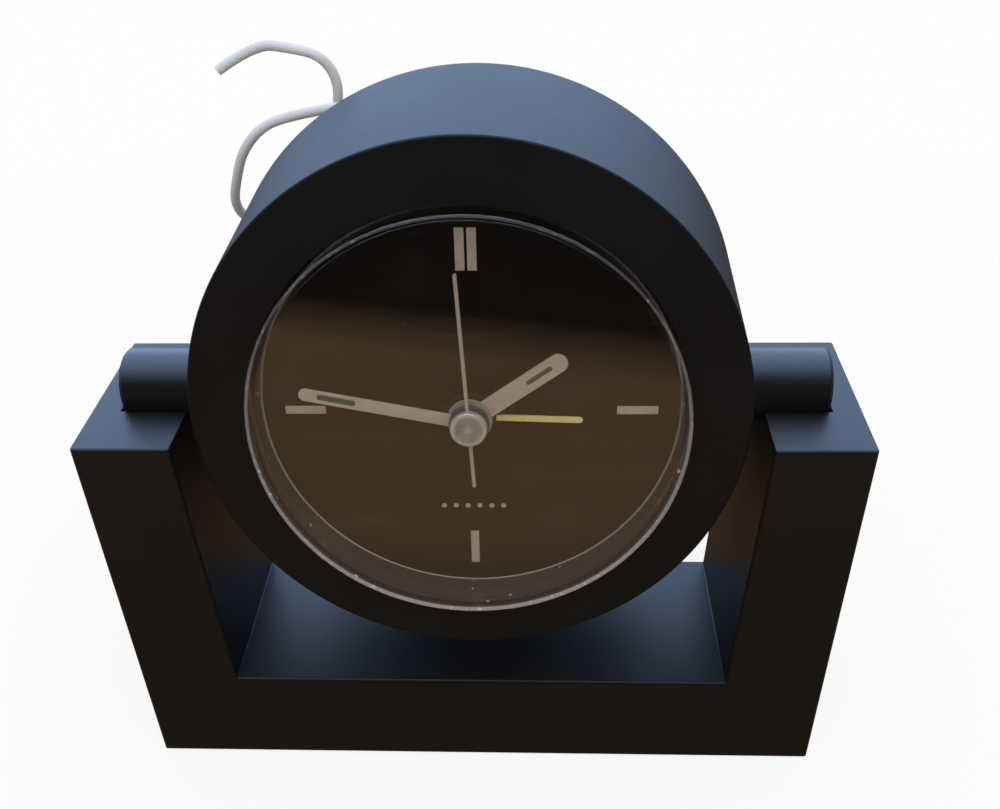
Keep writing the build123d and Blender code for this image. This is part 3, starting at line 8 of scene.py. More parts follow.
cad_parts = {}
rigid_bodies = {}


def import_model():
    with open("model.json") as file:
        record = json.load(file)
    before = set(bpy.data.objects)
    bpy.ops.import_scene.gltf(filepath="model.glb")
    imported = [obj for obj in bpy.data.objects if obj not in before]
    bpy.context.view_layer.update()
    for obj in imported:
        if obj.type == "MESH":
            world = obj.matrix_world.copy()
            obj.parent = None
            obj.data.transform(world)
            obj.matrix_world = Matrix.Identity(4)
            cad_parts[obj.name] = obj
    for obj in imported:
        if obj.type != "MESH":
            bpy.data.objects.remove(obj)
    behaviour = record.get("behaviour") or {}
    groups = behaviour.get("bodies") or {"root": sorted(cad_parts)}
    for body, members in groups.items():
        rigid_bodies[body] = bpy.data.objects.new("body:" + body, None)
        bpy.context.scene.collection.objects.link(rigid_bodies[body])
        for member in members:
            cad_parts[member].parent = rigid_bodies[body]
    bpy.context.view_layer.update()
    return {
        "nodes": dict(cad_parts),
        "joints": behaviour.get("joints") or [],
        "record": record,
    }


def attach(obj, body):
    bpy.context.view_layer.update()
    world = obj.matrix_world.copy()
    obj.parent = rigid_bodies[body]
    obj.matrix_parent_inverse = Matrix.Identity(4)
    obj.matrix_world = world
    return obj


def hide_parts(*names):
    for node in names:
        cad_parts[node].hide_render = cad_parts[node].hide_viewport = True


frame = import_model()
nodes = frame["nodes"]
joints = {joint["name"]: joint for joint in frame["joints"]}
scene = bpy.context.scene
scene.view_settings.view_transform = "Standard"

# The drum's own frame: x to the right, y up the dial, z out of the dial.
dialRight = Vector((1, 0, 0))
dialOut = Vector(joints["time_set"]["axis"]).normalized()
dialUp = dialOut.cross(dialRight)
drumFrame = Matrix((dialRight, dialUp, dialOut)).transposed().to_4x4()
drumFrame.translation = Vector(joints["drum_tilt"]["pos_m"])

# Camera
cameraSettings = {
    "place": (0.010226, -0.143037, 0.160366),
    "turn": 2.59,        # degrees to the left of straight ahead
    "down": 37.04,       # degrees below level
    "roll": 1.36,        # degrees
    "lens": 38.073,      # mm
    "sensor": 36,        # mm
    "shift": (0.0001, 0.0756),
    "clip": (0.01, 50),
}


def makeCamera(s):
    data = bpy.data.cameras.new("camera")
    data.sensor_width = s["sensor"]
    data.lens = s["lens"]
    data.shift_x, data.shift_y = s["shift"]
    data.clip_start, data.clip_end = s["clip"]
    camera = bpy.data.objects.new("camera", data)
    scene.collection.objects.link(camera)
    aim = Matrix.Rotation(radians(s["turn"]), 4, "Z") @ Matrix.Rotation(radians(90 - s["down"]), 4, "X")
    roll = Matrix.Rotation(radians(-s["roll"]), 4, "Z")
    camera.matrix_world = Matrix.Translation(s["place"]) @ aim @ roll
    scene.camera = camera


makeCamera(cameraSettings)
print("camera done")

# Shader maths: Field is a value that varies over a surface, Finish is a material being made.
patchEdges = (0.3, 0.7)      # noise values between which two shades blend
speckEdge = 0.02             # how softly the cells that hold a speck are chosen
speckCore = 0.6              # share of a speck's radius that is full


class Field:
    def __init__(self, finish, socket):
        self.finish = finish
        self.socket = socket

    def maths(self, operation, first, second):
        return self.finish.node("ShaderNodeMath", {"operation": operation}, {0: first, 1: second})

    def __add__(self, other):
        return self.maths("ADD", self, other)

    def __sub__(self, other):
        return self.maths("SUBTRACT", self, other)

    def __rsub__(self, other):
        return self.maths("SUBTRACT", other, self)

    def __mul__(self, other):
        return self.maths("MULTIPLY", self, other)

    __radd__ = __add__
    __rmul__ = __mul__

    def swing(self, amount):
        return (self - 0.5) * amount     # a noise's change about its middle


class Finish:
    def __init__(self, name, kind="materials"):
        self.made = getattr(bpy.data, kind).new(name)
        self.made.use_nodes = True
        self.tree = self.made.node_tree
        self.tree.nodes.clear()
        self.place = self.node("ShaderNodeTexCoord", out="Object")

    def node(self, kind, settings=None, sockets=None, out=0):
        made = self.tree.nodes.new(kind)
        for key, value in (settings or {}).items():
            setattr(made, key, value)
        for key, value in (sockets or {}).items():
            if isinstance(value, Field):
                self.tree.links.new(value.socket, made.inputs[key])
            else:
                made.inputs[key].default_value = value
        return Field(self, made.outputs[out]) if made.outputs else None

    def drumPlace(self):
        # Place in the drum's own frame: x and y across the dial, z out of it.
        turn = drumFrame.to_euler()
        settings = {"vector_type": "TEXTURE"}
        sockets = {"Vector": self.place, "Location": drumFrame.translation, "Rotation": turn}
        return self.node("ShaderNodeMapping", settings, sockets)

    def fromAxis(self):
        # Distance from the drum's axis.
        across = {0: self.drumPlace(), 1: (1, 1, 0)}
        flat = self.node("ShaderNodeVectorMath", {"operation": "MULTIPLY"}, across)
        return self.node("ShaderNodeVectorMath", {"operation": "LENGTH"}, {0: flat}, out="Value")

    def noise(self, scale, detail=2.0, roughness=0.5, stretch=(1, 1, 1)):
        place = self.node("ShaderNodeMapping", {}, {"Vector": self.place, "Scale": stretch})
        sockets = {"Vector": place, "Scale": scale, "Detail": detail, "Roughness": roughness}
        return self.node("ShaderNodeTexNoise", {}, sockets)

    def specks(self, scale, size, share):
        # Round dots in some of the cells, chosen by each cell's own shade.
        cell = {"Vector": self.place, "Scale": scale}
        near = self.node("ShaderNodeTexVoronoi", {}, cell, out="Distance")
        shade = self.node("ShaderNodeTexVoronoi", {}, cell, out="Color")
        grey = self.node("ShaderNodeRGBToBW", {}, {"Color": shade})
        chosen = self.between(grey, 1 - share, 1 + speckEdge - share)
        return self.between(near, size, size * speckCore) * chosen

    def between(self, value, low, high, clear=0.0, full=1.0):
        sockets = {"Value": value, "From Min": low, "From Max": high, "To Min": clear, "To Max": full}
        return self.node("ShaderNodeMapRange", {"clamp": True}, sockets)

    def blend(self, factor, first, second):
        return self.node("ShaderNodeMix", {"data_type": "RGBA"}, {0: factor, 6: first, 7: second}, out=2)

    def patches(self, cloud, s):
        return self.blend(self.between(cloud, *patchEdges), s["dark"], s["light"])

    def bump(self, height, strength, distance):
        sockets = {"Height": height, "Strength": strength, "Distance": distance}
        return self.node("ShaderNodeBump", {}, sockets)

    def principled(self, sockets):
        return self.close(self.node("ShaderNodeBsdfPrincipled", {}, sockets))

    def close(self, shader, output="ShaderNodeOutputMaterial"):
        self.node(output, {}, {"Surface": shader})
        return self.made


def rgb(red, green, blue):
    return (red, green, blue, 1.0)


# Finishes. A noise is (scale, detail, roughness, stretch), specks are (scale, size, share)
# and a bump is (strength, depth). A cover is the share of the colour that a mark hides.
plasticShared = {
    "fine": (3, 0.6), "fineSpread": 0.12, "cloud": (55, 4, 0.6),
    "dustScale": 420, "dustCover": 0.5, "dustDull": 0.3, "bump": 0.5,
}
blackPlastic = {
    "dark": rgb(0.0026, 0.0024, 0.0023), "light": rgb(0.0048, 0.0044, 0.0042),
    "dust": rgb(0.16, 0.155, 0.14), "dustShare": 0.05, "dustSize": 0.07,
    "roughness": 0.42, "spread": 0.08, "grain": 2600, "depth": 0.000012, "gloss": 0.33,
}
plasticLooks = {
    "black_plastic": blackPlastic,
    "drum_plastic": {
        **blackPlastic, "light": rgb(0.0046, 0.0042, 0.004), "roughness": 0.56, "gloss": 0.26,
    },
    "trunnion_plastic": {**blackPlastic, "gloss": 0.55},
    "movement_plastic": {
        "dark": rgb(0.68, 0.66, 0.61), "light": rgb(0.78, 0.77, 0.73),
        "dust": rgb(0.4, 0.38, 0.34), "dustShare": 0.04, "dustSize": 0.05,
        "roughness": 0.5, "spread": 0.12, "grain": 1800, "depth": 0.00001, "gloss": 0.5,
    },
    "gear_plastic": {
        "dark": rgb(0.78, 0.78, 0.75), "light": rgb(0.88, 0.88, 0.86),
        "dust": rgb(0.5, 0.48, 0.42), "dustShare": 0.03, "dustSize": 0.05,
        "roughness": 0.42, "spread": 0.1, "grain": 2200, "depth": 0.000006, "gloss": 0.5,
    },
    "buzzer_case": {
        "dark": rgb(0.012, 0.012, 0.013), "light": rgb(0.02, 0.02, 0.021),
        "dust": rgb(0.2, 0.2, 0.19), "dustShare": 0.04, "dustSize": 0.05,
        "roughness": 0.35, "spread": 0.1, "grain": 1500, "depth": 0.000008, "gloss": 0.5,
    },
    "foot_pad": {
        "dark": rgb(0.02, 0.02, 0.02), "light": rgb(0.045, 0.044, 0.042),
        "dust": rgb(0.2, 0.19, 0.17), "dustShare": 0.2, "dustSize": 0.1,
        "roughness": 0.85, "spread": 0.1, "grain": 1200, "depth": 0.00006, "gloss": 0.3,
    },
}


def mouldedPlastic(name, look):
    s = {**plasticShared, **look}
    f = Finish(name)
    grain = f.noise(s["grain"], *s["fine"])
    cloud = f.noise(*s["cloud"])
    dust = f.specks(s["dustScale"], s["dustSize"], s["dustShare"])
    colour = f.patches(cloud, s)
    colour = f.blend(dust * s["dustCover"], colour, s["dust"])
    roughness = cloud.swing(s["spread"]) + grain.swing(s["fineSpread"]) + dust * s["dustDull"]
    roughness = roughness + s["roughness"]
    sockets = {"Base Color": colour, "Roughness": roughness, "Specular IOR Level": s["gloss"]}
    return f.principled({**sockets, "Normal": f.bump(grain, s["bump"], s["depth"])})


metalShared = {
    "brush": (1400, 3, 0.65), "brushShare": 0.5, "brushSpread": 0.18,
    "tarnish": (160, 4, 0.6), "tarnishSpread": 0.2, "bump": (0.3, 0.000008),
}
metalLooks = {
    "screw_steel": {
        "dark": rgb(0.42, 0.42, 0.43), "light": rgb(0.6, 0.6, 0.61),
        "roughness": 0.3, "stretch": (1, 1, 8),
    },
    "magnet": {
        "dark": rgb(0.1, 0.1, 0.11), "light": rgb(0.19, 0.19, 0.2),
        "roughness": 0.5, "stretch": (1, 1, 1),
    },
    "lamination": {
        "dark": rgb(0.5, 0.5, 0.48), "light": rgb(0.66, 0.66, 0.64),
        "roughness": 0.36, "stretch": (9, 1, 1),
    },
    "contact_metal": {
        "dark": rgb(0.66, 0.58, 0.36), "light": rgb(0.82, 0.76, 0.55),
        "roughness": 0.28, "stretch": (6, 1, 1),
    },
    "nickel": {
        "dark": rgb(0.68, 0.68, 0.67), "light": rgb(0.84, 0.84, 0.83),
        "roughness": 0.22, "stretch": (1, 1, 7),
    },
    "brass": {
        "dark": rgb(0.6, 0.4, 0.14), "light": rgb(0.78, 0.56, 0.24),
        "roughness": 0.26, "stretch": (1, 8, 1),
    },
    "battery_can": {
        "dark": rgb(0.5, 0.5, 0.51), "light": rgb(0.72, 0.72, 0.73),
        "roughness": 0.3, "stretch": (12, 1, 1),
    },
}


def workedMetal(name, look):
    s = {**metalShared, **look}
    f = Finish(name)
    brush = f.noise(*s["brush"], s["stretch"])
    tarnish = f.noise(*s["tarnish"])
    mix = brush * s["brushShare"] + tarnish * (1 - s["brushShare"])
    colour = f.blend(mix, s["dark"], s["light"])
    roughness = s["roughness"] + brush.swing(s["brushSpread"]) + tarnish.swing(s["tarnishSpread"])
    normal = f.bump(brush, *s["bump"])
    return f.principled({"Base Color": colour, "Metallic": 1.0, "Roughness": roughness, "Normal": normal})


paintShared = {
    "peel": (2200, 2), "bump": (0.4, 0.00001), "cloud": (420, 4, 0.6), "spread": 0.2,
    "chips": (900, 0.07, 0.06), "chip": rgb(0.05, 0.045, 0.04), "chipCover": 0.5, "hubEdge": 0.0001,
}
paintLooks = {
    "hand_paint": {"dark": rgb(0.3, 0.235, 0.19), "light": rgb(0.36, 0.29, 0.235), "roughness": 0.42},
    "hour_paint": {
        "dark": rgb(0.31, 0.243, 0.198), "light": rgb(0.375, 0.303, 0.247), "roughness": 0.42,
        "hub": rgb(0.22, 0.225, 0.185), "hubReach": 0.0034,
    },
    "minute_paint": {
        "dark": rgb(0.32, 0.252, 0.21), "light": rgb(0.385, 0.315, 0.262), "roughness": 0.42,
        # dark navy hub: painted shade in the gap between the cap and the hour hand's disc
        "hub": rgb(0.045, 0.055, 0.08), "hubReach": 0.0030,
    },
    "alarm_paint": {
        "dark": rgb(0.5, 0.41, 0.14), "light": rgb(0.6, 0.5, 0.19), "roughness": 0.4,
        "hub": rgb(0.012, 0.01, 0.008), "hubReach": 0.0039,
    },
    "lume_minute": {"dark": rgb(0.034, 0.058, 0.02), "light": rgb(0.058, 0.085, 0.033), "roughness": 0.7},
    "lume": {"dark": rgb(0.048, 0.044, 0.026), "light": rgb(0.074, 0.066, 0.04), "roughness": 0.7},
}


def brushedPaint(name, look):
    s = {**paintShared, **look}
    f = Finish(name)
    peel = f.noise(*s["peel"])
    cloud = f.noise(*s["cloud"])
    chips = f.specks(*s["chips"])
    colour = f.patches(cloud, s)
    colour = f.blend(chips * s["chipCover"], colour, s["chip"])
    # the hub colour inside hubReach; on the minute hand it is painted shade under the cap
    if "hub" in s:
        beyond = f.between(f.fromAxis(), s["hubReach"], s["hubReach"] + s["hubEdge"])
        colour = f.blend(beyond, s["hub"], colour)
    roughness = s["roughness"] + cloud.swing(s["spread"])
    normal = f.bump(peel, *s["bump"])
    return f.principled({"Base Color": colour, "Roughness": roughness, "Normal": normal})


dialLook = {
    "dark": rgb(0.0016, 0.0011, 0.001), "light": rgb(0.003, 0.0022, 0.0018), "roughness": 0.46, "gloss": 0.3,
    "streak": (120, 4, 0.6, (0.12, 1, 1.6)), "streakSpread": 0.12,
    "grain": (2400, 2), "grainSpread": 0.06, "bump": (0.2, 0.000004),
    "dust": rgb(0.16, 0.14, 0.12), "dustSpecks": (520, 0.05, 0.05), "dustCover": 0.5, "dustDull": 0.4,
}


def dialPaint(name, s):
    f = Finish(name)
    streak = f.noise(*s["streak"])
    grain = f.noise(*s["grain"])
    dust = f.specks(*s["dustSpecks"])
    colour = f.patches(streak, s)
    colour = f.blend(dust * s["dustCover"], colour, s["dust"])
    roughness = s["roughness"] + streak.swing(s["streakSpread"]) + grain.swing(s["grainSpread"])
    roughness = roughness + dust * s["dustDull"]
    sockets = {"Base Color": colour, "Roughness": roughness, "Specular IOR Level": s["gloss"]}
    return f.principled({**sockets, "Normal": f.bump(grain, *s["bump"])})


crystalLook = {
    # the pale diffuse colour of the painted edge highlights and of the dust, hairlines and smears
    "clear": rgb(0.93, 0.935, 0.93), "paintedGlowAndWear": rgb(0.62, 0.58, 0.56), "tint": rgb(1, 0.93, 0.87),
    # painted shade: the rim and wall lose part of their mirror towards twelve
    "roughness": 0.012, "mirror": 0.06, "facing": 0.5, "paintedTopEdgeShade": 0.55,
    "low": (0.02, -0.03),                                         # up the dial, from none to full
    "rim": (0.0321, 0.0322, 0.0324, 0.03255), "rimHeight": (0.0161, 0.0164), "rimSpread": 0.0006,
    "foot": (0.032, 0.0319), "footHeight": (0.00945, 0.0093),     # the seat on the dial
    "wall": (0.0312, 0.0314),
    # painted highlight on the rim, foot and wall, weaker at twelve and stronger at six
    "rimPaintedGlow": (0.065, 0.32), "footPaintedGlow": (0.24, 0.7), "wallPaintedGlow": (0.0, 0.04),     # at twelve, at six
    "smear": (70, 4, 0.6), "smearEdges": (0.55, 0.8), "smearCover": 0.004,
    "hairlines": (900, 2, 0.5, (0.05, 1, 0.7)), "hairlineEdges": (0.70, 0.74), "hairlineCover": 0.01,
    "scuffs": (1100, 3, 0.6), "scuffEdges": (0.6, 0.7), "scuffCover": 0.2,
    "dust": (360, 0.035, 0.12), "dustCover": 0.4, "chips": (470, 0.2, 0.3), "chipCover": 0.5,
}


def clearCrystal(name, s):
    f = Finish(name)
    away = f.fromAxis()
    up = f.node("ShaderNodeSeparateXYZ", {}, {0: f.drumPlace()}, out="Y")
    height = f.node("ShaderNodeSeparateXYZ", {}, {0: f.drumPlace()}, out="Z")
    low = f.between(up, *s["low"])
    smear = f.noise(*s["smear"])
    dust = f.specks(*s["dust"])
    hairlines = f.between(f.noise(*s["hairlines"]), *s["hairlineEdges"])
    scuffs = f.between(f.noise(*s["scuffs"]), *s["scuffEdges"])
    chips = f.specks(*s["chips"]) * low
    # Three zones of the cup: its rounded front edge, its foot and its wall, each given a painted highlight
    # of pale diffuse, weaker at twelve and stronger at six, with real scuffs and chips added.
    inner, innerFull, outerFull, outer = s["rim"]
    rim = f.between(low * s["rimSpread"] + away, inner, innerFull) * f.between(away, outer, outerFull)
    rim = rim * f.between(height, *s["rimHeight"])
    foot = f.between(height, *s["footHeight"]) * f.between(away, *s["foot"])
    wall = f.between(away, *s["wall"]) * (1 - rim) * (1 - foot)
    glowLevels = (s["rimPaintedGlow"], s["footPaintedGlow"], s["wallPaintedGlow"])
    rimPaintedGlow, footPaintedGlow, wallPaintedGlow = [low * (six - twelve) + twelve for twelve, six in glowLevels]
    # painted highlight: a pale diffuse glow on the three zones, with scuffs and chips added
    paintedGlowAndWear = rim * (rimPaintedGlow + scuffs * s["scuffCover"]) + foot * footPaintedGlow
    paintedGlowAndWear = paintedGlowAndWear + wall * (wallPaintedGlow + chips * s["chipCover"])
    glowAndMarks = paintedGlowAndWear + dust * s["dustCover"] + hairlines * s["hairlineCover"]
    glowAndMarks = glowAndMarks + f.between(smear, *s["smearEdges"]) * s["smearCover"]
    # Mirror share of a bare clear face, by how steeply it is seen.
    facing = f.node("ShaderNodeLayerWeight", {}, {"Blend": s["facing"]}, out="Facing")
    steep = facing * facing
    mirror = steep * steep * facing * (1 - s["mirror"]) + s["mirror"]
    # painted shade: the mirror of the rim and wall is dimmed towards twelve
    mirror = mirror * (1 - (rim + wall) * (1 - low) * s["paintedTopEdgeShade"])
    clear = f.node("ShaderNodeBsdfTransparent", {}, {"Color": s["clear"]})
    gloss = f.node("ShaderNodeBsdfGlossy", {}, {"Color": s["tint"], "Roughness": s["roughness"]})
    body = f.node("ShaderNodeMixShader", {}, {0: mirror, 1: clear, 2: gloss})
    # pale diffuse that paints the edge highlights and shows the dust and wear marks
    glowAndWearDiffuse = f.node("ShaderNodeBsdfDiffuse", {}, {"Color": s["paintedGlowAndWear"]})
    return f.close(f.node("ShaderNodeMixShader", {}, {0: f.between(glowAndMarks, 0, 1), 1: body, 2: glowAndWearDiffuse}))


capLook = {
    "dark": rgb(0.29, 0.265, 0.237), "light": rgb(0.43, 0.4, 0.368), "cloud": (500, 3),
    # the pale rim ring and pale centre spot are painted highlights on the turned cap
    "pale": rgb(0.6, 0.56, 0.545), "rim": (0.0019, 0.0023), "centreHighlightReach": (0.0009, 0.0003), "centreHighlightShare": 0.7,
    "ring": 0.00016, "bump": (0.5, 0.00001), "metal": 0.55, "roughness": 0.3, "spread": 0.12,
}


def turnedCap(name, s):
    f = Finish(name)
    rings = f.node("ShaderNodeMath", {"operation": "SINE"}, {0: f.fromAxis() * (2 * pi / s["ring"])})
    cloud = f.noise(*s["cloud"])
    # painted highlight: a pale ring at the rim and a pale spot at the centre
    pale = f.between(f.fromAxis(), *s["rim"]) + f.between(f.fromAxis(), *s["centreHighlightReach"]) * s["centreHighlightShare"]
    colour = f.patches(cloud, s)
    colour = f.blend(pale, colour, s["pale"])
    roughness = s["roughness"] + cloud.swing(s["spread"])
    sockets = {"Base Color": colour, "Metallic": s["metal"], "Roughness": roughness}
    return f.principled({**sockets, "Normal": f.bump(rings, *s["bump"])})


wireLook = {
    "dark": rgb(0.3, 0.09, 0.03), "light": rgb(0.66, 0.28, 0.13), "turns": 1600.0, "waver": 0.6,
    "metal": 0.7, "roughness": 0.3, "spread": 0.2, "bump": (0.8, 0.00006),
}


def woundWire(name, s):
    f = Finish(name)
    wave = {"Vector": f.place, "Scale": s["turns"], "Distortion": s["waver"]}
    turns = f.node("ShaderNodeTexWave", {"bands_direction": "Z"}, wave)
    turns = f.node("ShaderNodeRGBToBW", {}, {"Color": turns})
    colour = f.blend(turns, s["dark"], s["light"])
    roughness = s["roughness"] + (1 - turns) * s["spread"]
    sockets = {"Base Color": colour, "Metallic": s["metal"], "Roughness": roughness}
    return f.principled({**sockets, "Normal": f.bump(turns, *s["bump"])})


boardLook = {
    "dark": rgb(0.2, 0.12, 0.04), "light": rgb(0.36, 0.24, 0.09), "weave": (1500, 2, 0.5, (1, 1, 0.25)),
    "track": rgb(0.5, 0.3, 0.12), "tracks": (330, 0, 0.5, (1, 1, 0.3)), "trackEdges": (0.52, 0.54),
    "trackCover": 0.6, "roughness": 0.34, "spread": 0.15, "bump": (0.4, 0.00003),
}


def boardLaminate(name, s):
    f = Finish(name)
    weave = f.noise(*s["weave"])
    tracks = f.between(f.noise(*s["tracks"]), *s["trackEdges"])
    colour = f.blend(weave, s["dark"], s["light"])
    colour = f.blend(tracks * s["trackCover"], colour, s["track"])
    roughness = s["roughness"] + weave * s["spread"]
    normal = f.bump(tracks, *s["bump"])
    return f.principled({"Base Color": colour, "Roughness": roughness, "Normal": normal})


sheathLook = {
    "dark": rgb(0.44, 0.45, 0.465), "light": rgb(0.52, 0.53, 0.55), "cloud": (130, 4, 0.6),
    "dust": rgb(0.12, 0.12, 0.12), "grime": (700, 0.09, 0.1), "grimeCover": 0.4,
    "roughness": 0.42, "spread": 0.2, "grain": (1300, 2), "bump": (0.1, 0.00001),
}


def leadSheath(name, s):
    f = Finish(name)
    cloud = f.noise(*s["cloud"])
    grain = f.noise(*s["grain"])
    grime = f.specks(*s["grime"])
    colour = f.patches(cloud, s)
    colour = f.blend(grime * s["grimeCover"], colour, s["dust"])
    roughness = s["roughness"] + cloud.swing(s["spread"])
    normal = f.bump(grain, *s["bump"])
    return f.principled({"Base Color": colour, "Roughness": roughness, "Normal": normal})


finishes = {name: mouldedPlastic(name, look) for name, look in plasticLooks.items()}
finishes.update({name: workedMetal(name, look) for name, look in metalLooks.items()})
finishes.update({name: brushedPaint(name, look) for name, look in paintLooks.items()})
finishes["dial_paint"] = dialPaint("dial_paint", dialLook)
finishes["clear_crystal"] = clearCrystal("clear_crystal", crystalLook)
finishes["cap"] = turnedCap("cap", capLook)
finishes["winding_wire"] = woundWire("winding_wire", wireLook)
finishes["board"] = boardLaminate("board", boardLook)
finishes["lead_sheath"] = leadSheath("lead_sheath", sheathLook)

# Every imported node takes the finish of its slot, or one of its own.
slots = {row["node"]: row["material_slot"] for row in frame["record"]["subparts"]}
ownFinishes = {
    "hour_hand": "hour_paint", "minute_hand": "minute_paint", "minute_lume": "lume_minute",
    "trunnion_left": "trunnion_plastic", "trunnion_right": "trunnion_plastic",
    # the alarm wheel takes black plastic: painted shade where its pipe shows in the hole around the hands'
    # hub
    "alarm_wheel": "black_plastic", "carrier_plate": "black_plastic",
}
for name, node in nodes.items():
    node.data.materials.clear()
    node.data.materials.append(finishes[ownFinishes.get(name, slots[name])])
print("finishes done")

# Lead: the route's points from the gland to the bare end.
leadSettings = {
    "diameter": 0.0017,
    "length": 0.1757,
    "sides": 6,          # bevel resolution
    "steps": 10,         # between two points
    "order": 3,
    "route": (
        (-0.0230, 0.02885, 0.07470), (-0.0230, 0.03562, 0.07404), (-0.0256, 0.0423, 0.0744),
        (-0.0310, 0.0466, 0.0756), (-0.0382, 0.0474, 0.0776), (-0.0448, 0.0444, 0.0801),
        (-0.0456, 0.0404, 0.0852), (-0.0432, 0.0372, 0.0914), (-0.0408, 0.0350, 0.0968),
        (-0.0364, 0.0342, 0.1015), (-0.0300, 0.0340, 0.1033), (-0.0227, 0.0342, 0.1044),
        (-0.0154, 0.0350, 0.1046), (-0.0092, 0.0364, 0.1014), (-0.0060, 0.0384, 0.0952),
        (-0.0068, 0.0406, 0.0884), (-0.0098, 0.0420, 0.0820), (-0.0152, 0.0430, 0.0780),
        (-0.0216, 0.0430, 0.0786), (-0.0260, 0.0424, 0.0832), (-0.0266, 0.0414, 0.0896),
        (-0.0254, 0.0406, 0.0952), (-0.0246, 0.0399, 0.1014), (-0.0237, 0.0393, 0.1072),
        (-0.0261, 0.0386, 0.1115), (-0.0311, 0.0379, 0.1129), (-0.0365, 0.0372, 0.1138),
        (-0.0431, 0.0364, 0.1098),
    ),
}


def makeLead(s):
    curve = bpy.data.curves.new("lead_wire", "CURVE")
    curve.dimensions = "3D"
    curve.bevel_depth = s["diameter"] / 2
    curve.bevel_resolution = s["sides"]
    curve.resolution_u = s["steps"]
    curve.use_fill_caps = True
    spline = curve.splines.new("NURBS")
    spline.points.add(len(s["route"]) - 1)
    for point, place in zip(spline.points, s["route"]):
        point.co = (*place, 1)
    spline.order_u = s["order"]
    spline.use_endpoint_u = True
    spline.use_smooth = True
    curve.materials.append(finishes["lead_sheath"])
    lead = bpy.data.objects.new("lead_wire", curve)
    scene.collection.objects.link(lead)
    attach(lead, "drum")
    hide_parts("lead")
    return lead


leadWire = makeLead(leadSettings)
print("lead done")

# Shapes
shapeSettings = {
    "roundSegments": 5, "turnedMerge": 1e-7,          # turned pieces
    "edgeSegments": 2, "copyMerge": 2e-6,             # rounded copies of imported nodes
    "flatAngle": 0.5, "sharpAngle": 28,               # degrees: faces joined below, edges rounded above
    "shadeAngle": 40,                                 # degrees: edges above it are shaded sharp
}


def turned(profile, rounds, steps, closed):
    # Corners are (distance from the axis, height); rounds gives some of them a radius.
    bm = bmesh.new()
    corners = [bm.verts.new((radius, 0, height)) for radius, height in profile]
    for first, second in zip(corners, corners[1:]):
        bm.edges.new((first, second))
    if closed:
        bm.edges.new((corners[-1], corners[0]))
    for index, size in rounds.items():
        bmesh.ops.bevel(
            bm, geom=[corners[index]], offset=size, offset_type="OFFSET", affect="VERTICES",
            segments=shapeSettings["roundSegments"], profile=0.5, material=-1,
        )
    geom = bm.verts[:] + bm.edges[:]
    bmesh.ops.spin(
        bm, geom=geom, cent=(0, 0, 0), axis=(0, 0, 1), angle=2 * pi, steps=steps, use_merge=True
    )
    bmesh.ops.remove_doubles(bm, verts=bm.verts, dist=shapeSettings["turnedMerge"])
    return bm


def softened(name, width):
    # A copy of a node with its flat faces joined and its sharp edges rounded.
    flat = radians(shapeSettings["flatAngle"])
    limit = radians(shapeSettings["sharpAngle"])
    bm = bmesh.new()
    bm.from_mesh(nodes[name].data)
    bmesh.ops.remove_doubles(bm, verts=bm.verts, dist=shapeSettings["copyMerge"])
    bmesh.ops.dissolve_limit(bm, angle_limit=flat, verts=bm.verts, edges=bm.edges)
    sharp = [edge for edge in bm.edges if edge.is_manifold and edge.calc_face_angle() > limit]
    bmesh.ops.bevel(
        bm, geom=sharp, offset=width, offset_type="OFFSET", affect="EDGES",
        segments=shapeSettings["edgeSegments"], profile=0.5, material=-1, clamp_overlap=True,
    )
    return bm


def makePiece(name, bm, body, slot, replaced, place=None, finish=None):
    if place:
        bmesh.ops.transform(bm, matrix=place, verts=bm.verts)
    bmesh.ops.recalc_face_normals(bm, faces=bm.faces)
    mesh = bpy.data.meshes.new(name)
    bm.to_mesh(mesh)
    bm.free()
    mesh.materials.append(finishes[finish or slot])
    mesh.shade_smooth()
    mesh.set_sharp_from_angle(angle=radians(shapeSettings["shadeAngle"]))
    piece = bpy.data.objects.new(name, mesh)
    scene.collection.objects.link(piece)
    weighted = piece.modifiers.new("weighted", "WEIGHTED_NORMAL")
    weighted.keep_sharp = True
    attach(piece, body)
    if replaced:
        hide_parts(*replaced)


# Drum shell and crystal
shellSettings = {
    "opening": 0.0327, "front": 0.041763, "back": 0.044163, "wall": 0.0022, "bezel": 0.0022,
    "face": 0.0131, "rear": -0.0229, "innerFront": 0.03971,
    "openingRound": 0.0002, "frontRound": 0.0004, "rearRound": 0.0003, "steps": 192,
}


def makeShell(s):
    profile = (
        (s["opening"], s["face"]),
        (s["front"], s["face"]),
        (s["back"], s["rear"]),
        (s["back"] - s["wall"], s["rear"]),
        (s["innerFront"], s["face"] - s["bezel"]),
        (s["opening"], s["face"] - s["bezel"]),
    )
    rounds = {0: s["openingRound"], 1: s["frontRound"], 2: s["rearRound"], 3: s["rearRound"]}
    shell = turned(profile, rounds, s["steps"], True)
    makePiece("drum_shell", shell, "drum", "black_plastic", ["housing"], drumFrame, "drum_plastic")


makeShell(shellSettings)

crystalSettings = {
    "radius": 0.0326, "skirt": 0.0315, "flange": 0.0342, "front": 0.0169, "inner": 0.0157,
    "flangeFront": 0.01085, "seat": 0.00894,
    "edge": 0.0005, "innerEdge": 0.0003, "footEdge": 0.0003, "steps": 288,
}


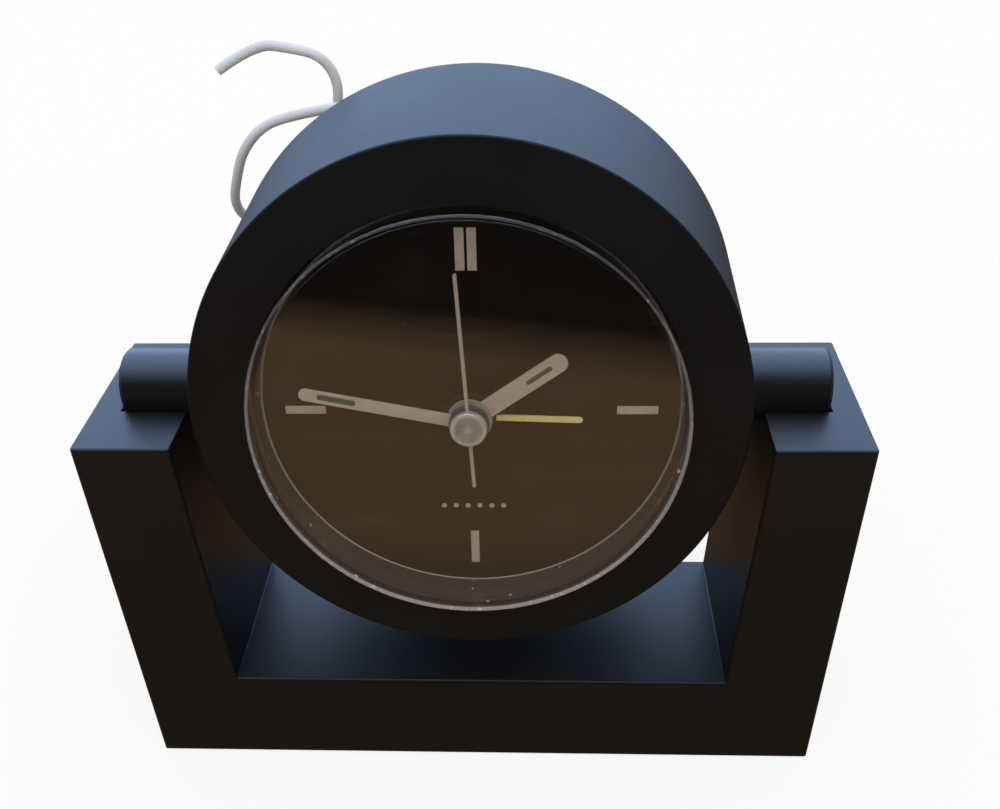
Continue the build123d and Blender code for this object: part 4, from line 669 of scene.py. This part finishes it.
def makeCrystal(s):
    profile = (
        (0, s["front"]),
        (s["radius"], s["front"]),
        (s["radius"], s["flangeFront"]),
        (s["flange"], s["flangeFront"]),
        (s["flange"], s["seat"]),
        (s["skirt"], s["seat"]),
        (s["skirt"], s["inner"]),
        (0, s["inner"]),
    )
    rounds = {1: s["edge"], 5: s["footEdge"], 6: s["innerEdge"]}
    cup = turned(profile, rounds, s["steps"], False)
    makePiece("crystal_cup", cup, "drum", "clear_crystal", ["crystal"], drumFrame)


makeCrystal(crystalSettings)
print("drum done")

# Dial: a disc, its markers and a row of dots
dialSettings = {
    "hole": 0.0036, "radius": 0.0342, "rear": 0.0084, "front": 0.0089, "edge": 0.0001, "steps": 128,
    "markerInner": 0.0221, "markerOuter": 0.0283, "markerWidth": 0.00134, "pairGap": 0.00038,
    "rise": 0.00016, "markerEdge": 0.00005, "rimAngle": 60, "edgeSegments": 2,
    "dots": 6, "dotPitch": 0.0019, "dotRadius": 0.00042, "dotPlace": -0.0172, "dotSides": 20,
}


def makeDial(s):
    profile = (
        (s["hole"], s["front"]),
        (s["radius"], s["front"]),
        (s["radius"], s["rear"]),
        (s["hole"], s["rear"]),
    )
    disc = turned(profile, {0: s["edge"], 1: s["edge"]}, s["steps"], True)
    makePiece("dial_disc", disc, "drum", "dial_paint", ["dial_plate"], drumFrame)
    bm = bmesh.new()
    pair = (s["markerWidth"] + s["pairGap"]) / 2
    length = s["markerOuter"] - s["markerInner"]
    reach = (s["markerInner"] + s["markerOuter"]) / 2
    level = s["front"] + s["rise"] / 2
    size = Matrix.Diagonal((s["markerWidth"], length, s["rise"], 1))
    # Each marker's turn in degrees and its step aside: twelve has a pair.
    for turn, aside in ((0, -pair), (0, pair), (90, 0), (180, 0), (270, 0)):
        bar = bmesh.ops.create_cube(bm, size=1)["verts"]
        middle = Matrix.Translation((aside, reach, level))
        bmesh.ops.transform(bm, matrix=Matrix.Rotation(radians(turn), 4, "Z") @ middle @ size, verts=bar)
    for number in range(s["dots"]):
        dot = bmesh.ops.create_cone(
            bm, cap_ends=True, segments=s["dotSides"], radius1=s["dotRadius"], radius2=s["dotRadius"],
            depth=s["rise"],
        )["verts"]
        aside = (number - (s["dots"] - 1) / 2) * s["dotPitch"]
        bmesh.ops.translate(bm, vec=Vector((aside, s["dotPlace"], level)), verts=dot)
    rims = [edge for edge in bm.edges if edge.calc_face_angle() > radians(s["rimAngle"])]
    bmesh.ops.bevel(
        bm, geom=rims, offset=s["markerEdge"], offset_type="OFFSET", affect="EDGES",
        segments=s["edgeSegments"], profile=0.5, material=-1,
    )
    makePiece("dial_markers", bm, "drum", "hand_paint", [], drumFrame)


makeDial(dialSettings)

# Cap over the hands' hub: a shallow dish inside a flat lip
capSettings = {
    "radius": 0.00275, "rear": 0.0146, "front": 0.0156, "edge": 0.0003,
    "dimple": 0.00022, "dishShare": 0.62, "dishDepth": 0.55, "dishRound": 0.0003,
    "lipShare": 0.8, "lipRound": 0.0001, "steps": 96,
}


def makeCap(s):
    profile = (
        (0, s["front"] - s["dimple"]),
        (s["radius"] * s["dishShare"], s["front"] - s["dimple"] * s["dishDepth"]),
        (s["radius"] * s["lipShare"], s["front"]),
        (s["radius"], s["front"]),
        (s["radius"], s["rear"]),
        (0, s["rear"]),
    )
    rounds = {1: s["dishRound"], 2: s["lipRound"], 3: s["edge"]}
    cap = turned(profile, rounds, s["steps"], False)
    makePiece("cap_button", cap, "seconds", "cap", ["hub_cap"], drumFrame)


makeCap(capSettings)
print("dial and cap done")

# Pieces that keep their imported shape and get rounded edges: the width of the round by node.
edgeRounds = {
    "stand_frame": 0.0002,
    "trunnion_left": 0.0002,
    "trunnion_right": 0.0002,
    "hour_hand": 0.00008,
    "minute_hand": 0.00008,
    "second_hand": 0.00006,
    "alarm_hand": 0.00006,
    "rear_cover": 0.00015,
    "battery_door": 0.00015,
    "time_set_knob": 0.00012,
    "alarm_set_knob": 0.00012,
    "alarm_switch": 0.00012,
    "lead_gland": 0.00015,
    "cover_screw_1": 0.0001,
    "cover_screw_2": 0.0001,
    "cover_screw_3": 0.0001,
}
for name, width in edgeRounds.items():
    body = nodes[name].parent.name.removeprefix("body:")
    rounded = softened(name, width)
    makePiece(f"{name}_rounded", rounded, body, slots[name], [name], finish=ownFinishes.get(name))
print("rounded pieces done")

# Stage: a pale floor, and over it a warm card that only shows in glossy surfaces.
stageSettings = {
    "floor": rgb(0.66, 0.63, 0.59),
    "floorLow": (-6, -6),
    "floorHigh": (6, 12),
    "white": rgb(1, 1, 1),
    "nearWhite": 0.85,       # share of white at the clock, full further off
    "whiteFrom": 0.08,
    "whiteAt": 0.35,
    "cardLow": (-2, -2),
    "cardHigh": (2, 2),
    "cardHeight": 0.0004,
    "warm": rgb(0.425, 0.278, 0.146),
    "shade": rgb(0.012, 0.011, 0.013),
    "warmEnd": -0.250,       # the card is warm from the clock to here, and dark further off
    "shadeFrom": -0.310,
    "slant": 0.35,
    "nearFrom": -0.12,       # and it is dimmer right in front of the stand
    "nearFull": -0.06,
    "nearDim": 0.6,
    "streak": (40, 4, 0.6, (0.15, 2, 1)),
    "streakTop": 1.15,
    "streakDepth": 0.4,
}


def stagePlane(name, low, high, height, material, glossOnly):
    bm = bmesh.new()
    bmesh.ops.create_grid(bm, x_segments=1, y_segments=1, size=0.5)
    size = Matrix.Diagonal((high[0] - low[0], high[1] - low[1], 1, 1))
    middle = Matrix.Translation(((low[0] + high[0]) / 2, (low[1] + high[1]) / 2, height))
    bmesh.ops.transform(bm, matrix=middle @ size, verts=bm.verts)
    mesh = bpy.data.meshes.new(name)
    bm.to_mesh(mesh)
    bm.free()
    mesh.materials.append(material)
    plane = bpy.data.objects.new(name, mesh)
    scene.collection.objects.link(plane)
    if glossOnly:
        plane.visible_camera = False
        plane.visible_diffuse = False
        plane.visible_transmission = False
        plane.visible_shadow = False


def floorFinish(s):
    f = Finish("pale_floor")
    paths = ("Is Camera Ray", "Is Glossy Ray", "Is Transmission Ray")
    rays = [f.node("ShaderNodeLightPath", out=path) for path in paths]
    away = f.node("ShaderNodeVectorMath", {"operation": "LENGTH"}, {0: f.place}, out="Value")
    seen = f.between(rays[0] + rays[1] + rays[2], 0, 1)
    whiteShare = f.between(away, s["whiteFrom"], s["whiteAt"], s["nearWhite"], 1.0) * seen
    pale = f.node("ShaderNodeBsdfDiffuse", {}, {"Color": s["floor"]})
    glow = f.node("ShaderNodeEmission", {}, {"Color": s["white"], "Strength": 1.0})
    return f.close(f.node("ShaderNodeMixShader", {}, {0: whiteShare, 1: pale, 2: glow}))


def cardFinish(s):
    f = Finish("warm_card")
    ahead = f.node("ShaderNodeSeparateXYZ", {}, {0: f.place}, out="Y")
    aside = f.node("ShaderNodeSeparateXYZ", {}, {0: f.place}, out="X")
    streak = f.noise(*s["streak"])
    warm = f.between(ahead - aside * s["slant"], s["shadeFrom"], s["warmEnd"])
    near = f.between(ahead, s["nearFrom"], s["nearFull"], 1.0, 1 - s["nearDim"])
    share = warm * near * (s["streakTop"] - streak * s["streakDepth"])
    colour = f.blend(share, s["shade"], s["warm"])
    return f.close(f.node("ShaderNodeEmission", {}, {"Color": colour, "Strength": 1.0}))


def makeStage(s):
    stagePlane("floor", s["floorLow"], s["floorHigh"], 0, floorFinish(s), False)
    stagePlane("warm_card", s["cardLow"], s["cardHigh"], s["cardHeight"], cardFinish(s), True)


makeStage(stageSettings)

# Lights: an even soft light with one lamp in front, and a bluish sky that only shows in glossy surfaces.
skySettings = {
    "towards": (-0.16, 0.58, 0.8), "dimAt": 0.16, "brightAt": 0.82,
    "dim": rgb(0.02, 0.019, 0.02), "bright": rgb(1.9, 2.75, 4.3),
    "even": rgb(0.72, 0.75, 0.8), "behind": rgb(1, 1, 1),
}


def skyFinish(s):
    f = Finish("studio", "worlds")
    way = f.node("ShaderNodeTexCoord", out="Generated")
    sides = {0: way, 1: s["towards"]}
    lift = f.node("ShaderNodeVectorMath", {"operation": "DOT_PRODUCT"}, sides, out="Value")
    sky = f.blend(f.between(lift, s["dimAt"], s["brightAt"]), s["dim"], s["bright"])
    colour = f.blend(f.node("ShaderNodeLightPath", out="Is Glossy Ray"), s["even"], sky)
    colour = f.blend(f.node("ShaderNodeLightPath", out="Is Camera Ray"), colour, s["behind"])
    shader = f.node("ShaderNodeBackground", {}, {"Color": colour, "Strength": 1.0})
    return f.close(shader, "ShaderNodeOutputWorld")


lampSettings = {
    "place": (0.06, -0.46, 0.82), "aim": (0, 0, 0.06), "size": (0.6, 0.6),
    "watts": 6.0, "colour": (1.0, 0.97, 0.93),
}


def makeLamp(name, s):
    data = bpy.data.lights.new(name, "AREA")
    data.shape = "RECTANGLE"
    data.size, data.size_y = s["size"]
    data.energy = s["watts"]
    data.color = s["colour"]
    lamp = bpy.data.objects.new(name, data)
    place = Vector(s["place"])
    turn = (Vector(s["aim"]) - place).to_track_quat("-Z", "Y").to_matrix().to_4x4()
    lamp.matrix_world = Matrix.Translation(place) @ turn
    lamp.visible_glossy = False
    scene.collection.objects.link(lamp)


makeLamp("front_lamp", lampSettings)
scene.world = skyFinish(skySettings)
print("stage done")
